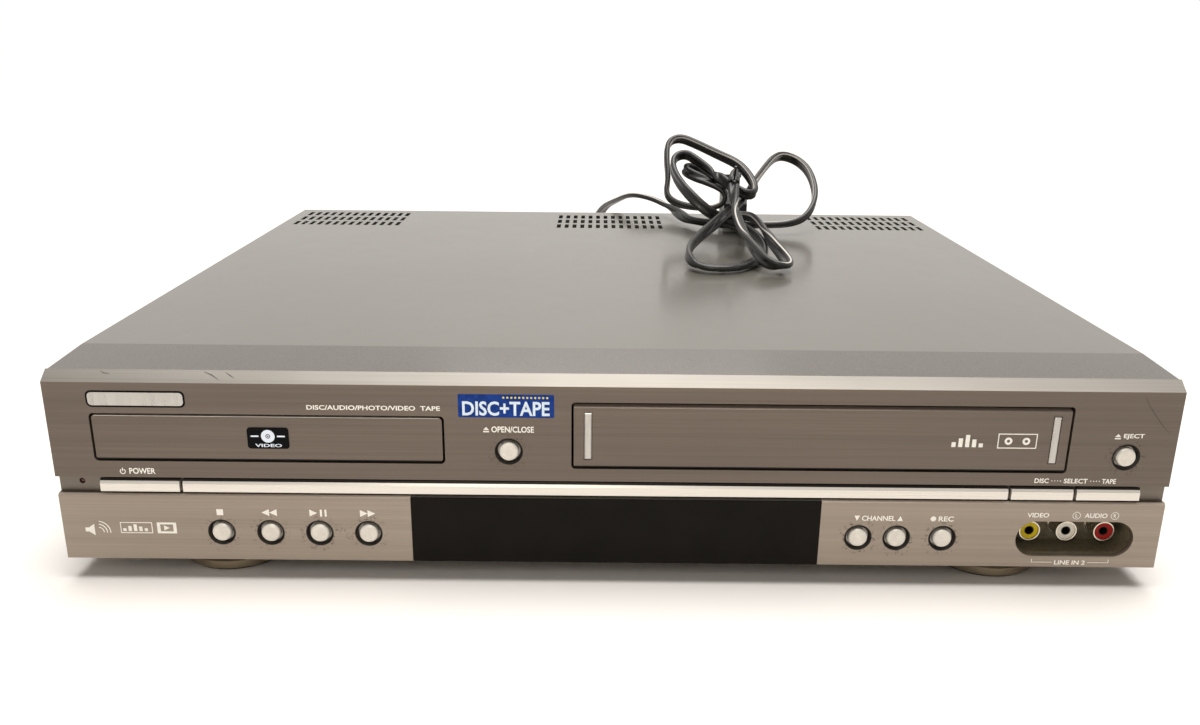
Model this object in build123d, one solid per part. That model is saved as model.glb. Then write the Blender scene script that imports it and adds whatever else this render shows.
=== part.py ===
"""Disc and video cassette combination player, as an assembly of separate pieces.

Sizes are in millimetres. While a piece is modelled, x = 0 is the middle of the player, y = 0 is the flat
front face with +y to the back, and z = 0 is the lower edge of the front panel. save() then moves every
piece alike, so that the origin is the middle of the player's footprint on the surface it stands on.
"""

import math
import os

from build123d import *

os.makedirs("parts", exist_ok=True)

# ---------------------------------------------------------------- driving dimensions

# casing
WIDTH = 430.0
FACE_TOP = 73.4  # top edge of the flat front face
BEVEL_DEPTH, BEVEL_RISE = 4.8, 3.7
BAND_DEPTH, BAND_RISE = 28.4, 1.5  # sloped front band of the cover
CASE_DEPTH = 365.0  # front face to the cover's rear edge
COVER_SHEET = 0.8
COVER_HEM = 0.6  # height of the cover's lower edge
COVER_BEND = 1.2
COVER_LIP = 9.0  # rear edge of the cover, folded down over the rear panel
PANEL_DEPTH = 14.0
WALL = 2.4  # moulded wall of the front panel
SHEET = 1.0  # steel of the base and the rear panel
FIT = 0.3  # gap between a piece and what it sits beside

# front panel
LOWER_TOP, LIP = 27.0, 0.8
GROOVE_TOP, GROOVE_DEPTH = 34.9, 2.8
PANEL_GAP = 0.9  # seen all round the tray front and the cassette door
TRAY_HOLE_X, TRAY_HOLE_Z, TRAY_HOLE_R = (-198.8, -64.3), (41.6, 61.1), 1.8
DOOR_HOLE_X, DOOR_HOLE_Z, DOOR_HOLE_R = (-16.0, 174.4), (40.1, 67.2), 1.5
WINDOW_X = (-78.5, 81.4)
WINDOW_GAP = 0.1
SENSOR_X, SENSOR_Z, SENSOR_R = -206.2, 32.0, 1.15
RECESS_X, RECESS_Z = (158.6, 204.8), (4.6, 19.7)
RIB = 1.5
RIB_PLACES = (-207.0, -58.0, -24.0, 181.5, 206.5)

# buttons
CAP_R, CAP_HOLE_R, CAP_RING_R, CAP_RING_DEPTH = 3.7, 4.45, 5.3, 0.85
CAP_PROUD = 0.8
CAP_TRAVEL = 0.8
CAP_FLANGE_R, CAP_FLANGE_T = 5.6, 0.8
STEM_R = 1.5
KEY_ROW_Z, RECORD_ROW_Z, UPPER_KEY_Z = 11.8, 12.0, 47.0
KEY_PITCH, FIRST_KEY_X = 19.2, -153.0
ROUND_KEYS = {
    "stop_button": (FIRST_KEY_X, KEY_ROW_Z),
    "rewind_button": (FIRST_KEY_X + KEY_PITCH, KEY_ROW_Z),
    "play_button": (FIRST_KEY_X + 2 * KEY_PITCH, KEY_ROW_Z),
    "forward_button": (FIRST_KEY_X + 3 * KEY_PITCH, KEY_ROW_Z),
    "channel_down_button": (96.6, RECORD_ROW_Z),
    "channel_up_button": (111.7, RECORD_ROW_Z),
    "record_button": (129.7, RECORD_ROW_Z),
    "open_close_button": (-39.9, UPPER_KEY_Z),
    "eject_button": (196.4, UPPER_KEY_Z),
}
STRIP_Z, STRIP_CHAMFER_Z = (28.9, 34.0), 32.1
STRIP_T, STRIP_GAP = 1.7, 1.3
STRIP_SPLITS = (-198.8, -166.9, 153.9, 179.2, 205.0)  # ends of the power, trim, disc and tape lengths

# front board
BOARD_T = 1.6
FRONT_BOARD_Y = 11.0
SWITCH, SWITCH_T = 6.0, 1.4
BOSS_R = 2.5
BOSS_PLACES = ((-204.0, 7.0), (-86.0, 7.0), (88.0, 22.0), (146.0, 7.0), (204.5, 52.0), (-51.0, 53.0))
TUBE_X, TUBE_Z, TUBE_T = (-60.0, 63.0), (4.5, 23.5), 6.0

# phono and aerial sockets
SLEEVE_R, SLEEVE_T, PIN_HOLE_R, COLLAR_R = 4.15, 0.45, 1.6, 4.6
JACKS = {"jack_insert_yellow": 167.0, "jack_insert_white": 181.7, "jack_insert_red": 196.7}
JACK_Z, JACK_RIM_Y, JACK_SEAT, RECESS_DEPTH, CUP_WALL = 12.0, 7.3, 18.0, 15.0, 1.5
REAR_JACK_X, REAR_JACK_Z, REAR_JACK_PITCH = -165.0, 24.0, (15.0, 14.0)
REAR_JACK_COUNT = (3, 3)
REAR_JACK_LENGTH = 9.0  # from the rear panel's inner face
AERIAL_X, AERIAL_Z, AERIAL_R, AERIAL_LENGTH = (158.0, 184.0), 40.0, 4.7, 10.0
AERIAL_COLLAR_R = 5.3

# feet
FOOT_HEIGHT = 9.3
FOOT_SIDE, FRONT_FOOT_Y, FOOT_BACK = 58.6, 28.5, 35.0  # from the side, the face and the rear edge
FOOT_R, FOOT_NECK_R, FOOT_NECK, PAD_R, PAD_T = 21.8, 17.5, 4.3, 20.0, 1.0

# vents
VENT_SIDE, VENT_BACK = 43.0, 34.0  # middle of an outer group from the side and from the rear edge
MIDDLE_VENT_X, MIDDLE_VENT_BACK = 0.7, 37.0
VENT_COLUMNS, VENT_ROWS, VENT_PITCH = 14, 3, (5.12, 17.8)
VENT_SLOT = (2.6, 12.5)

# disc loader
TRAY_W, TRAY_Z, TRAY_BACK = 128.0, (47.0, 56.0), 168.0
DISC_Y, DISC_R, SMALL_DISC_R = 72.0, 60.5, 40.8
DISC_DEPTH, SMALL_DISC_DEPTH = 6.6, 7.4  # below the tray's top
TRAY_SLOT_W = 46.0
TRAY_FRONT_T = 2.8
LOADER_WALL, LOADER_SIDE_GAP = 2.8, 0.6
LOADER_Y, LOADER_Z, LOADER_FLOOR = (16.0, 200.0), (30.0, 60.0), 2.0
TRAVERSE_ROOM = 1.0  # between the traverse's side and the edge of the loader's window
WINDOW_AHEAD, WINDOW_BEHIND = 6.0, 8.0  # from the traverse's ends to the window's
LEG_R = 4.0
MODULE, GEAR_TEETH, TOOTH_SHARE = 1.0, 16, 0.40  # share of the pitch that a tooth takes at its pitch line
RACK_X, RACK_W = 55.0, 5.0  # pitch line right of the tray's middle, and how wide the toothed bar is
GEAR_Y, GEAR_T = 30.0, 3.0
SHAFT_R, RUN = 2.0, 0.05  # posts and pins, and their running clearance
TRAVERSE_W, TRAVERSE_Y, TRAVERSE_Z = 88.0, (54.0, 176.0), (33.0, 34.2)
TRAVERSE_PIVOT_Y, TRAVERSE_PIVOT_Z = 172.0, 37.0
ROD_X, ROD_R, ROD_Z, ROD_Y = 24.0, 1.5, 40.0, (89.0, 164.0)
MOTOR_R, MOTOR_TOP = 12.0, 47.6
PLATTER_R, PLATTER_T, HUB_R, HUB_TOP, SPINDLE_R = 14.0, 2.0, 7.3, 53.0, 1.0
BRIDGE_Y, BRIDGE_T, BRIDGE_HOLE_R = (48.0, 96.0), 1.2, 13.0
CLAMP_FLANGE_R, CLAMP_FLANGE_T, CLAMP_LOW = 15.5, 1.2, 51.6  # its lower face meets a disc on the platter

# boards at the rear
MAIN_BOARD_W, MAIN_BOARD_SIDE, MAIN_BOARD_AHEAD, MAIN_BOARD_BACK = 163.0, 9.1, 6.0, 24.9
POWER_BOARD_W, BOARD_GAP, POWER_BOARD_AHEAD, POWER_BOARD_BACK = 152.0, 8.0, 10.0, 10.9
REAR_BOARD_TOP = 14.0
FRONT_BOARD_SIDE = 6.1

# cassette deck
CASSETTE_X, CASSETTE_FLOOR, CASSETTE_H = (-14.8, 173.2), 40.9, 25.4
CARRIAGE_Y, CARRIAGE_SHEET, LEDGE = (36.0, 118.0), 1.2, 10.0
CARRIAGE_IN, CARRIAGE_DOWN = 40.0, 22.0
SLIDER_T, SLIDER_Z, SLIDER_Y, SIDE_GAP = 1.2, (20.0, 66.0), (42.0, 112.0), 0.5
SIDE_PLATE_T, SIDE_PLATE_Y, SIDE_PLATE_TOP = 1.2, (36.0, 166.0), 74.0
CARRIAGE_PIN_Y, CARRIAGE_PIN_Z, GUIDE_PIN_Z = (56.0, 98.0), 56.0, 62.0
DECK_Y, DECK_Z, DECK_SHEET = (34.0, 236.0), 8.0, 1.2
DOOR_T, DOOR_AXIS_Y, DOOR_AXIS_Z, DOOR_PIN_R, DOOR_EYE_R, DOOR_ARM = 2.4, 4.6, 71.5, 1.0, 1.9, 2.0
DOOR_BEVEL = 1.3
TRIM_X, TRIM_Z, TRIM_T = ((-11.0, -8.3), (167.0, 169.6)), (44.2, 63.0), 0.8
DRUM_R, DRUM_Y, DRUM_TILT, DRUM_BASE_H, DRUM_H, DRUM_SHAFT_R = 31.0, 194.0, 5.6, 16.0, 17.0, 3.0
REEL_SPAN, REEL_Y, REEL_TABLE_R, REEL_HUB_R, REEL_TOP = 111.1, 95.0, 18.0, 7.0, 31.0
CAPSTAN_X, CAPSTAN_Y, CAPSTAN_R, CAPSTAN_TOP, FLYWHEEL_R = 160.0, 168.0, 1.5, 46.0, 20.0
PINCH_PIVOT, PINCH_REACH, ROLLER_R, ROLLER_Z = (170.0, 188.0), (-18.0, -10.0), 7.0, (20.0, 34.0)

# mains lead
LEAD_D = 5.0
RELIEF_X, RELIEF_Z, RELIEF_R, RELIEF_TIP_R, RELIEF_LENGTH = -22.0, 16.0, 6.0, 3.6, 26.0
PLUG = (15.0, 34.0, 22.0)
BLADE = (1.5, 16.0, 6.4)
BLADE_SPAN = 12.7
TIE_W, TIE_T = 3.0, 0.8

# ---------------------------------------------------------------- places that follow from them

COVER_TOP = FACE_TOP + BEVEL_RISE + BAND_RISE
COVER_UNDER = COVER_TOP - COVER_SHEET
PANEL_LEDGE = FACE_TOP + BEVEL_RISE - COVER_SHEET - 0.1  # the cover's front edge lies on this ledge
REAR_MOST = CASE_DEPTH - COVER_SHEET - FIT - SHEET + AERIAL_LENGTH
REAR_INNER = REAR_MOST - AERIAL_LENGTH  # inner face of the rear panel
ORIGIN_Y = (REAR_MOST - CAP_PROUD) / 2
INSIDE_X = WIDTH / 2 - COVER_SHEET - 0.1
MAIN_BOARD_LEFT = MAIN_BOARD_SIDE - INSIDE_X
POWER_BOARD_LEFT = MAIN_BOARD_LEFT + MAIN_BOARD_W + BOARD_GAP
TRAY_X = (TRAY_HOLE_X[0] + TRAY_HOLE_X[1]) / 2
LOADER_HALF = TRAY_W / 2 + LOADER_SIDE_GAP
CASSETTE_MID = (CASSETTE_X[0] + CASSETTE_X[1]) / 2
CARRIAGE_X = (CASSETTE_X[0] - FIT, CASSETTE_X[1] + FIT)  # inner faces of the carriage's sides
SLIDER_X = (
    CARRIAGE_X[0] - CARRIAGE_SHEET - SIDE_GAP - SLIDER_T,
    CARRIAGE_X[1] + CARRIAGE_SHEET + SIDE_GAP,
)
SIDE_PLATE_X = (
    SLIDER_X[0] - SIDE_GAP - SIDE_PLATE_T,
    SLIDER_X[1] + SLIDER_T + SIDE_GAP,
)
PITCH = math.pi * MODULE
GEAR_R = MODULE * GEAR_TEETH / 2
GEAR_X = TRAY_X + RACK_X - GEAR_R
LOADER_WINDOW_W = TRAVERSE_W + 2 * TRAVERSE_ROOM
LOADER_WINDOW_Y = (TRAVERSE_Y[0] - WINDOW_AHEAD, TRAVERSE_Y[1] + WINDOW_BEHIND)
FOOT_X, REAR_FOOT_Y = WIDTH / 2 - FOOT_SIDE, CASE_DEPTH - FOOT_BACK
VENT_GROUPS = (
    (VENT_SIDE - WIDTH / 2, CASE_DEPTH - VENT_BACK),
    (MIDDLE_VENT_X, CASE_DEPTH - MIDDLE_VENT_BACK),
    (WIDTH / 2 - VENT_SIDE, CASE_DEPTH - VENT_BACK),
)
FRONT_BOARD_BACK = FRONT_BOARD_Y + BOARD_T
SWITCH_Y = FRONT_BOARD_Y - SWITCH_T

# The lead's route, chosen by eye: out of the relief, up behind the player, over the rear edge, and then
# the loose loops that lie on the cover, held at their middle by a tie.
LEAD_ROUTE = [
    (RELIEF_X, REAR_INNER + SHEET + RELIEF_LENGTH, RELIEF_Z), (-21.5, 412, 16.5), (-17, 430, 34),
    (-10, 431, 59), (-3, 413, 75), (6, 391, 83.5), (16, 372, 91), (31, 359, 90), (42, 347, 86),
    (46, 333, 84.9),
]  # fmt: skip
LOOP_ROUTE = [
    (46, 333, 84.9), (50, 319, 83.8), (56, 305, 83.6), (69, 296, 83.6), (85, 291, 84), (101, 287, 84.6),
    # right loop
    (115, 287, 85.5), (127, 294, 89), (135, 309, 99), (134.5, 328, 111), (129, 341, 118),
    (119, 344, 122), (110, 336, 121.5), (101, 321, 115), (93, 302, 109.5),
    # front left loop
    (85, 282, 102.5), (74, 264, 97.5), (62, 244, 92.5), (51, 221, 89), (44, 202, 86.8),
    (42, 185, 84), (48, 174, 82), (59, 172, 81.6), (70, 178, 81.4), (80, 191, 81.4),
    (86, 207, 82), (88, 227, 84), (86, 245, 86),
    # upper left loop
    (80, 259, 88.5), (69, 264, 91.5), (57, 261, 99), (47, 267, 108), (42, 280, 113.5),
    (39.5, 291, 119.5), (41, 300, 125), (48.5, 304, 127), (55, 299, 123.5), (67, 287.5, 115.5),
    (75, 279, 110.5),
    # rear left loop
    (82, 272, 106.5), (89, 274, 105.5), (91, 283, 108.5), (88, 293, 115), (82, 303, 121),
    (70, 315, 125.5), (57, 323, 131), (46, 326, 135), (38, 322, 132), (37, 313, 123),
    # small inner turns
    (38, 303, 111), (36, 296, 102), (42, 291, 97), (55, 289, 95), (65, 286.5, 95),
    (72.5, 285.5, 98.5), (73, 286, 106), (63, 288, 111.5), (52, 293, 115), (47.5, 299, 117.5),
    (50, 306, 118), (57, 308, 116), (68, 306, 111.5),
    # front right loop
    (78, 300, 110.5), (81, 290, 117), (77, 278, 117.5), (75, 265, 109.5), (75, 252, 102),
    (75, 237, 96.5), (76, 214, 92), (78, 197, 89), (80, 184, 87), (82, 175, 84.8), (89, 171, 83.2),
    (95, 176, 82.8), (95, 189, 84.5), (92, 214, 87.8), (91, 236, 90),
    # back through the middle and into the plug
    (91, 255, 91.2), (88.5, 273, 92.5), (83, 289, 89.9), (83, 306, 89.9),
]  # fmt: skip
TIE_RUN = ((77, 278, 117.5), (75, 265, 109.5))  # the tie is wound round the middle of this run

# ---------------------------------------------------------------- helpers


def block(x, y, z):
    """A box between two places on each axis."""
    middle = [(a + b) / 2 for a, b in (x, y, z)]
    return Pos(*middle) * Box(x[1] - x[0], y[1] - y[0], z[1] - z[0])


def rod_x(y, z, r, x):
    return Pos((x[0] + x[1]) / 2, y, z) * Rot(0, 90, 0) * Cylinder(r, x[1] - x[0])


def rod_y(x, z, r, y):
    return Pos(x, (y[0] + y[1]) / 2, z) * Rot(90, 0, 0) * Cylinder(r, y[1] - y[0])


def rod_z(x, y, r, z):
    return Pos(x, y, (z[0] + z[1]) / 2) * Cylinder(r, z[1] - z[0])


def prism_x(section, x):
    """A section drawn in (y, z), from one x to another."""
    start = Plane((x[0], 0, 0), x_dir=(0, 1, 0), z_dir=(1, 0, 0))
    return extrude(start * section, x[1] - x[0], dir=(1, 0, 0))


def prism_y(section, y):
    """A section drawn in (x, z), from one y to another."""
    start = Plane((0, y[1], 0), x_dir=(1, 0, 0), z_dir=(0, -1, 0))
    return extrude(start * section, y[1] - y[0], dir=(0, -1, 0))


def prism_z(section, z):
    """A section drawn in (x, y), from one z to another."""
    return extrude(Plane((0, 0, z[0])) * section, z[1] - z[0], dir=(0, 0, 1))


def outline(*points):
    return make_face(Polyline(*points, close=True))


def rounded(x, z, r):
    return Pos((x[0] + x[1]) / 2, (z[0] + z[1]) / 2) * RectangleRounded(x[1] - x[0], z[1] - z[0], r)


def revolved_y(profile, x, z):
    """A profile drawn in (radius, y), turned about the line through (x, z) along y."""
    return Pos(x, 0, z) * revolve(Plane.XY * profile, Axis.Y)


def revolved_z(profile, x, y):
    """A profile drawn in (radius, z), turned about the line through (x, y) along z."""
    return Pos(x, y, 0) * revolve(Plane.XZ * profile, Axis.Z)


def grown(span, by):
    return (span[0] - by, span[1] + by)


def save(node, shape):
    """Write a node's one shape, or its list of separate solids, where the player stands."""
    shapes = shape if isinstance(shape, list) else [shape]
    solids = [solid for one in shapes for solid in one.solids()]
    placed = [Pos(0, -ORIGIN_Y, FOOT_HEIGHT) * solid for solid in solids]
    export_step(placed[0] if len(placed) == 1 else Compound(placed), f"parts/{node}.step")
    print(f"{node:22}{len(placed):3} solids")


# ---------------------------------------------------------------- casing


def top_cover():
    """One folded sheet: sloped front band, flat top, two sides and a lip folded down at the rear."""
    crest = FACE_TOP + BEVEL_RISE
    band_back = BEVEL_DEPTH + BAND_DEPTH
    slope = BAND_RISE / BAND_DEPTH
    outside = outline(
        (BEVEL_DEPTH, COVER_HEM), (BEVEL_DEPTH, crest), (band_back, COVER_TOP),
        (CASE_DEPTH, COVER_TOP), (CASE_DEPTH, COVER_HEM),
    )  # fmt: skip
    front, back, low = BEVEL_DEPTH - 1, CASE_DEPTH + 1, COVER_HEM - 1
    inside = outline(
        (front, low), (front, crest - COVER_SHEET - slope), (band_back, COVER_UNDER),
        (back, COVER_UNDER), (back, low),
    )  # fmt: skip
    half = WIDTH / 2
    shell = prism_x(outside, (-half, half))
    sides = [e for e in shell.edges() if abs(e.center().X) > half - 0.1]
    shell = fillet([e for e in sides if e.center().Z > crest + 0.2], COVER_BEND)
    shell -= prism_x(inside, (COVER_SHEET - half, half - COVER_SHEET))
    shell += block(
        grown((-half, half), -COVER_SHEET / 2),
        (CASE_DEPTH - COVER_SHEET, CASE_DEPTH),
        (COVER_TOP - COVER_LIP, COVER_UNDER + COVER_SHEET / 2),
    )
    grid = GridLocations(*VENT_PITCH, VENT_COLUMNS, VENT_ROWS)
    for group in VENT_GROUPS:
        slots = [Pos(*group) * place * Rectangle(*VENT_SLOT) for place in grid]
        shell -= prism_z(Sketch() + slots, (COVER_UNDER - 1, COVER_TOP + 1))
    return shell


def front_panel():
    """Plastic moulding: bevel, upper panel, groove for the bright strip, lower panel and openings."""
    half = WIDTH / 2
    lip_top = LOWER_TOP + LIP
    face = outline(
        (0, 0), (0, LOWER_TOP), (LIP, lip_top), (GROOVE_DEPTH, lip_top), (GROOVE_DEPTH, GROOVE_TOP),
        (0, GROOVE_TOP), (0, FACE_TOP), (BEVEL_DEPTH, FACE_TOP + BEVEL_RISE), (BEVEL_DEPTH, PANEL_LEDGE),
        (PANEL_DEPTH, PANEL_LEDGE), (PANEL_DEPTH, 0),
    )  # fmt: skip
    groove_back = GROOVE_DEPTH + WALL
    ceiling = PANEL_LEDGE - 1.6
    hollow = outline(
        (WALL, WALL), (WALL, lip_top - WALL), (groove_back, lip_top - WALL),
        (groove_back, GROOVE_TOP + WALL), (WALL, GROOVE_TOP + WALL), (WALL, FACE_TOP - 0.4),
        (BEVEL_DEPTH + 0.8, ceiling), (PANEL_DEPTH + 1, ceiling), (PANEL_DEPTH + 1, WALL),
    )  # fmt: skip
    panel = prism_x(face, (-half, half)) - prism_x(hollow, grown((-INSIDE_X, INSIDE_X), -WALL))
    for side in (-1, 1):
        step = sorted((side * INSIDE_X, side * (half + 1)))
        panel -= block(step, (BEVEL_DEPTH, PANEL_DEPTH + 1), (-1, COVER_TOP))
    for x in RIB_PLACES:
        panel += block((x - RIB / 2, x + RIB / 2), (WALL - 0.1, 3.5 * WALL), (GROOVE_TOP, ceiling + 0.1))
    for x, z in BOSS_PLACES:
        panel += rod_y(x, z, BOSS_R, (WALL - 0.1, FRONT_BOARD_Y))
    panel += door_ears(ceiling)
    through = (-1, WALL + 0.2)
    panel -= prism_y(rounded(TRAY_HOLE_X, TRAY_HOLE_Z, TRAY_HOLE_R), through)
    panel -= prism_y(rounded(DOOR_HOLE_X, DOOR_HOLE_Z, DOOR_HOLE_R), through)
    panel -= prism_y(rounded(RECESS_X, RECESS_Z, (RECESS_Z[1] - RECESS_Z[0]) / 2 - 0.01), through)
    panel -= block(WINDOW_X, (-1, WALL), (-1, lip_top))
    for x, z in ROUND_KEYS.values():
        ring = outline(
            (0, -1), (CAP_RING_R + 1, -1), (CAP_HOLE_R, CAP_RING_DEPTH), (CAP_HOLE_R, WALL + 1), (0, WALL + 1)
        )
        panel -= revolved_y(ring, x, z)
    for x in strip_stems():
        panel -= rod_y(x, sum(STRIP_Z) / 2, STEM_R + FIT, (0, groove_back + 1))
    return panel - rod_y(SENSOR_X, SENSOR_Z, SENSOR_R, (0, groove_back + 1))


def door_ears(ceiling):
    """Two ears behind the panel that carry the cassette door's pins."""
    ears = []
    for end, side in zip(DOOR_HOLE_X, (-1, 1)):
        x = sorted((end + side * 0.2, end + side * 2.4))
        ear = block(x, (WALL - 0.1, DOOR_AXIS_Y + 3), (DOOR_AXIS_Z - 3, ceiling + 0.1))
        ears.append(ear - rod_x(DOOR_AXIS_Y, DOOR_AXIS_Z, DOOR_PIN_R + RUN, grown(x, 1)))
    return ears


def display_window():
    """Smoked plastic with the lower panel's own edge, flush with its face."""
    lip_top = LOWER_TOP + LIP
    edge = outline((0, 0), (0, LOWER_TOP), (LIP, lip_top), (WALL, lip_top), (WALL, 0))
    return prism_x(edge, grown(WINDOW_X, -WINDOW_GAP))


def base_plate():
    """Steel tray that closes the bottom and carries everything inside."""
    side = INSIDE_X - 0.2
    front, back = PANEL_DEPTH + 0.1, REAR_INNER
    base = block((-side, side), (front, back), (0, SHEET))
    for x in ((-side, SHEET - side), (side - SHEET, side)):
        base += block(x, (front, back), (0, 12 * SHEET))
    base += block((-side, side), (front, front + SHEET), (0, 3 * SHEET))
    swages = Sketch() + [Pos(x, 120) * SlotOverall(70, 10, rotation=90) for x in (-95, 60)]
    return base - prism_z(swages, (-1, SHEET + 1))


def rear_panel():
    """Steel sheet with a hole for each socket and for the lead."""
    side = INSIDE_X - 0.2
    y = (REAR_INNER, REAR_INNER + SHEET)
    panel = block((-side, side), y, (0, COVER_UNDER - FIT))
    for x, z in rear_jack_places():
        panel -= rod_y(x, z, COLLAR_R + FIT, grown(y, 1))
    for x in AERIAL_X:
        panel -= rod_y(x, AERIAL_Z, AERIAL_COLLAR_R + FIT, grown(y, 1))
    return panel - rod_y(RELIEF_X, RELIEF_Z, RELIEF_R + RUN, grown(y, 1))


def foot_places():
    return [(x, y) for x in (-FOOT_X, FOOT_X) for y in (FRONT_FOOT_Y, REAR_FOOT_Y)]


def feet():
    """Four turned-looking feet: a neck under the base and a wider ring."""
    low, edge = PAD_T - FOOT_HEIGHT, 0.5
    profile = outline(
        (0, 0), (FOOT_NECK_R, 0), (FOOT_NECK_R, -FOOT_NECK), (FOOT_R - edge, -FOOT_NECK),
        (FOOT_R, -FOOT_NECK - edge), (FOOT_R, low + edge), (FOOT_R - edge, low), (0, low),
    )  # fmt: skip
    return [revolved_z(profile, x, y) for x, y in foot_places()]


def foot_pads():
    return [rod_z(x, y, PAD_R, (-FOOT_HEIGHT, PAD_T - FOOT_HEIGHT)) for x, y in foot_places()]


# ---------------------------------------------------------------- buttons and front board


def round_button(x, z):
    """Cap with a soft rim, a flange that keeps it behind the panel, and a stem that meets its switch."""
    rim = 0.9
    flange = WALL + FIT
    profile = outline(
        (0, -CAP_PROUD), (CAP_R - rim, -CAP_PROUD), (CAP_R - rim / 3, rim / 3 - CAP_PROUD),
        (CAP_R, rim - CAP_PROUD), (CAP_R, flange), (CAP_FLANGE_R, flange),
        (CAP_FLANGE_R, flange + CAP_FLANGE_T), (STEM_R, flange + CAP_FLANGE_T),
        (STEM_R, SWITCH_Y - CAP_TRAVEL - 0.1), (0, SWITCH_Y - CAP_TRAVEL - 0.1),
    )  # fmt: skip
    return revolved_y(profile, x, z)


def strip_stems():
    """Where the three strip buttons have their stems: two each."""
    a, b, c, d, e = STRIP_SPLITS
    return [x for lo, hi in ((a, b), (c, d), (d, e)) for x in (lo + 6, hi - 6)]


def strip_length(lo, hi, thick):
    """A stretch of the bright strip, with its chamfer along the top and its front edges eased."""
    low, high = STRIP_Z
    section = outline((0, low), (0, STRIP_CHAMFER_Z), (0.9, high), (thick, high), (thick, low))
    return prism_x(section, (lo + STRIP_GAP / 2, hi - STRIP_GAP / 2))


def strip_button(lo, hi):
    bar = strip_length(lo, hi, STRIP_T)
    for x in (lo + 6, hi - 6):
        bar += rod_y(x, sum(STRIP_Z) / 2, STEM_R, (STRIP_T - 0.2, SWITCH_Y - CAP_TRAVEL - 0.1))
    return bar


def front_board():
    """Circuit board behind the lower panel, with a switch behind every button."""
    y = (FRONT_BOARD_Y, FRONT_BOARD_BACK)
    low, high = WALL + 0.6, LOWER_TOP + LIP + 9
    middle_key, right_key = ROUND_KEYS["open_close_button"][0], ROUND_KEYS["eject_button"][0]
    end = INSIDE_X - FRONT_BOARD_SIDE
    board = block((-end, RECESS_X[0] - CUP_WALL - 2), y, (low, high))
    board += block((middle_key - 14, middle_key + 14), y, (high - 1, UPPER_KEY_Z + 9))
    board += block((RECESS_X[0] - CUP_WALL - 4, end), y, (RECESS_Z[1] + CUP_WALL + 1, high))
    board += block((right_key - 11, end), y, (high - 1, UPPER_KEY_Z + 9))
    half = SWITCH / 2
    for x, z in list(ROUND_KEYS.values()) + [(x, sum(STRIP_Z) / 2) for x in strip_stems()]:
        body = (SWITCH_Y, FRONT_BOARD_Y + 0.1)
        board += block((x - half, x + half), body, (z - half, z + half))
    return board


def display_tube():
    """Flat glass display tube between the smoked window and the board."""
    tube = block(TUBE_X, (FRONT_BOARD_Y - TUBE_T, FRONT_BOARD_Y), TUBE_Z)
    return chamfer(tube.edges().filter_by(Axis.Y), 1.5)


# ---------------------------------------------------------------- sockets


def jack_cup():
    """Moulded recess that holds the three front jacks."""
    r = (RECESS_Z[1] - RECESS_Z[0]) / 2
    outer = rounded(grown(RECESS_X, CUP_WALL), grown(RECESS_Z, CUP_WALL), r + CUP_WALL - 0.02)
    inner = rounded(RECESS_X, RECESS_Z, r - 0.01)
    back = RECESS_DEPTH + CUP_WALL
    cup = prism_y(outer, (WALL, back)) - prism_y(inner, (0, RECESS_DEPTH))
    cup += block(grown(RECESS_X, -4), (back - 0.1, back + 6), (RECESS_Z[0], RECESS_Z[1]))
    for x in JACKS.values():
        cup -= rod_y(x, JACK_Z, COLLAR_R + RUN, (RECESS_DEPTH - 1, JACK_SEAT))
    return cup


def jack_sleeves():
    """Metal sleeves; each has a collar that sits in the recess's back wall."""
    sleeves = []
    for x in JACKS.values():
        sleeve = rod_y(x, JACK_Z, SLEEVE_R, (JACK_RIM_Y, RECESS_DEPTH + 0.1))
        sleeve += rod_y(x, JACK_Z, COLLAR_R, (RECESS_DEPTH, JACK_SEAT))
        sleeves.append(sleeve - rod_y(x, JACK_Z, SLEEVE_R - SLEEVE_T, (0, JACK_SEAT + 1)))
    return sleeves


def jack_insert(x):
    """Coloured insulator in a sleeve, with the hole for the plug's pin."""
    y = (JACK_RIM_Y + 0.5, JACK_SEAT)
    plug = rod_y(x, JACK_Z, SLEEVE_R - SLEEVE_T - RUN, y)
    return plug - rod_y(x, JACK_Z, PIN_HOLE_R, (y[0] - 1, y[1] - 1))


def rear_jack_places():
    columns, rows = REAR_JACK_COUNT
    return [
        (REAR_JACK_X + REAR_JACK_PITCH[0] * i, REAR_JACK_Z + REAR_JACK_PITCH[1] * j)
        for i in range(columns)
        for j in range(rows)
    ]


def rear_jacks():
    """Block of rear phono jacks; each sleeve has a collar that passes through the rear panel."""
    columns, rows = REAR_JACK_COUNT
    x = grown((REAR_JACK_X, REAR_JACK_X + REAR_JACK_PITCH[0] * (columns - 1)), 7)
    z = grown((REAR_JACK_Z, REAR_JACK_Z + REAR_JACK_PITCH[1] * (rows - 1)), 6.5)
    body = block(x, (REAR_INNER - 14, REAR_INNER), z)
    for jack_x, jack_z in rear_jack_places():
        body += rod_y(jack_x, jack_z, COLLAR_R, (REAR_INNER - 0.1, REAR_INNER + SHEET))
        body += rod_y(jack_x, jack_z, SLEEVE_R, (REAR_INNER, REAR_INNER + REAR_JACK_LENGTH))
        body -= rod_y(jack_x, jack_z, PIN_HOLE_R, (REAR_INNER, REAR_INNER + REAR_JACK_LENGTH + 1))
    return body


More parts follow.
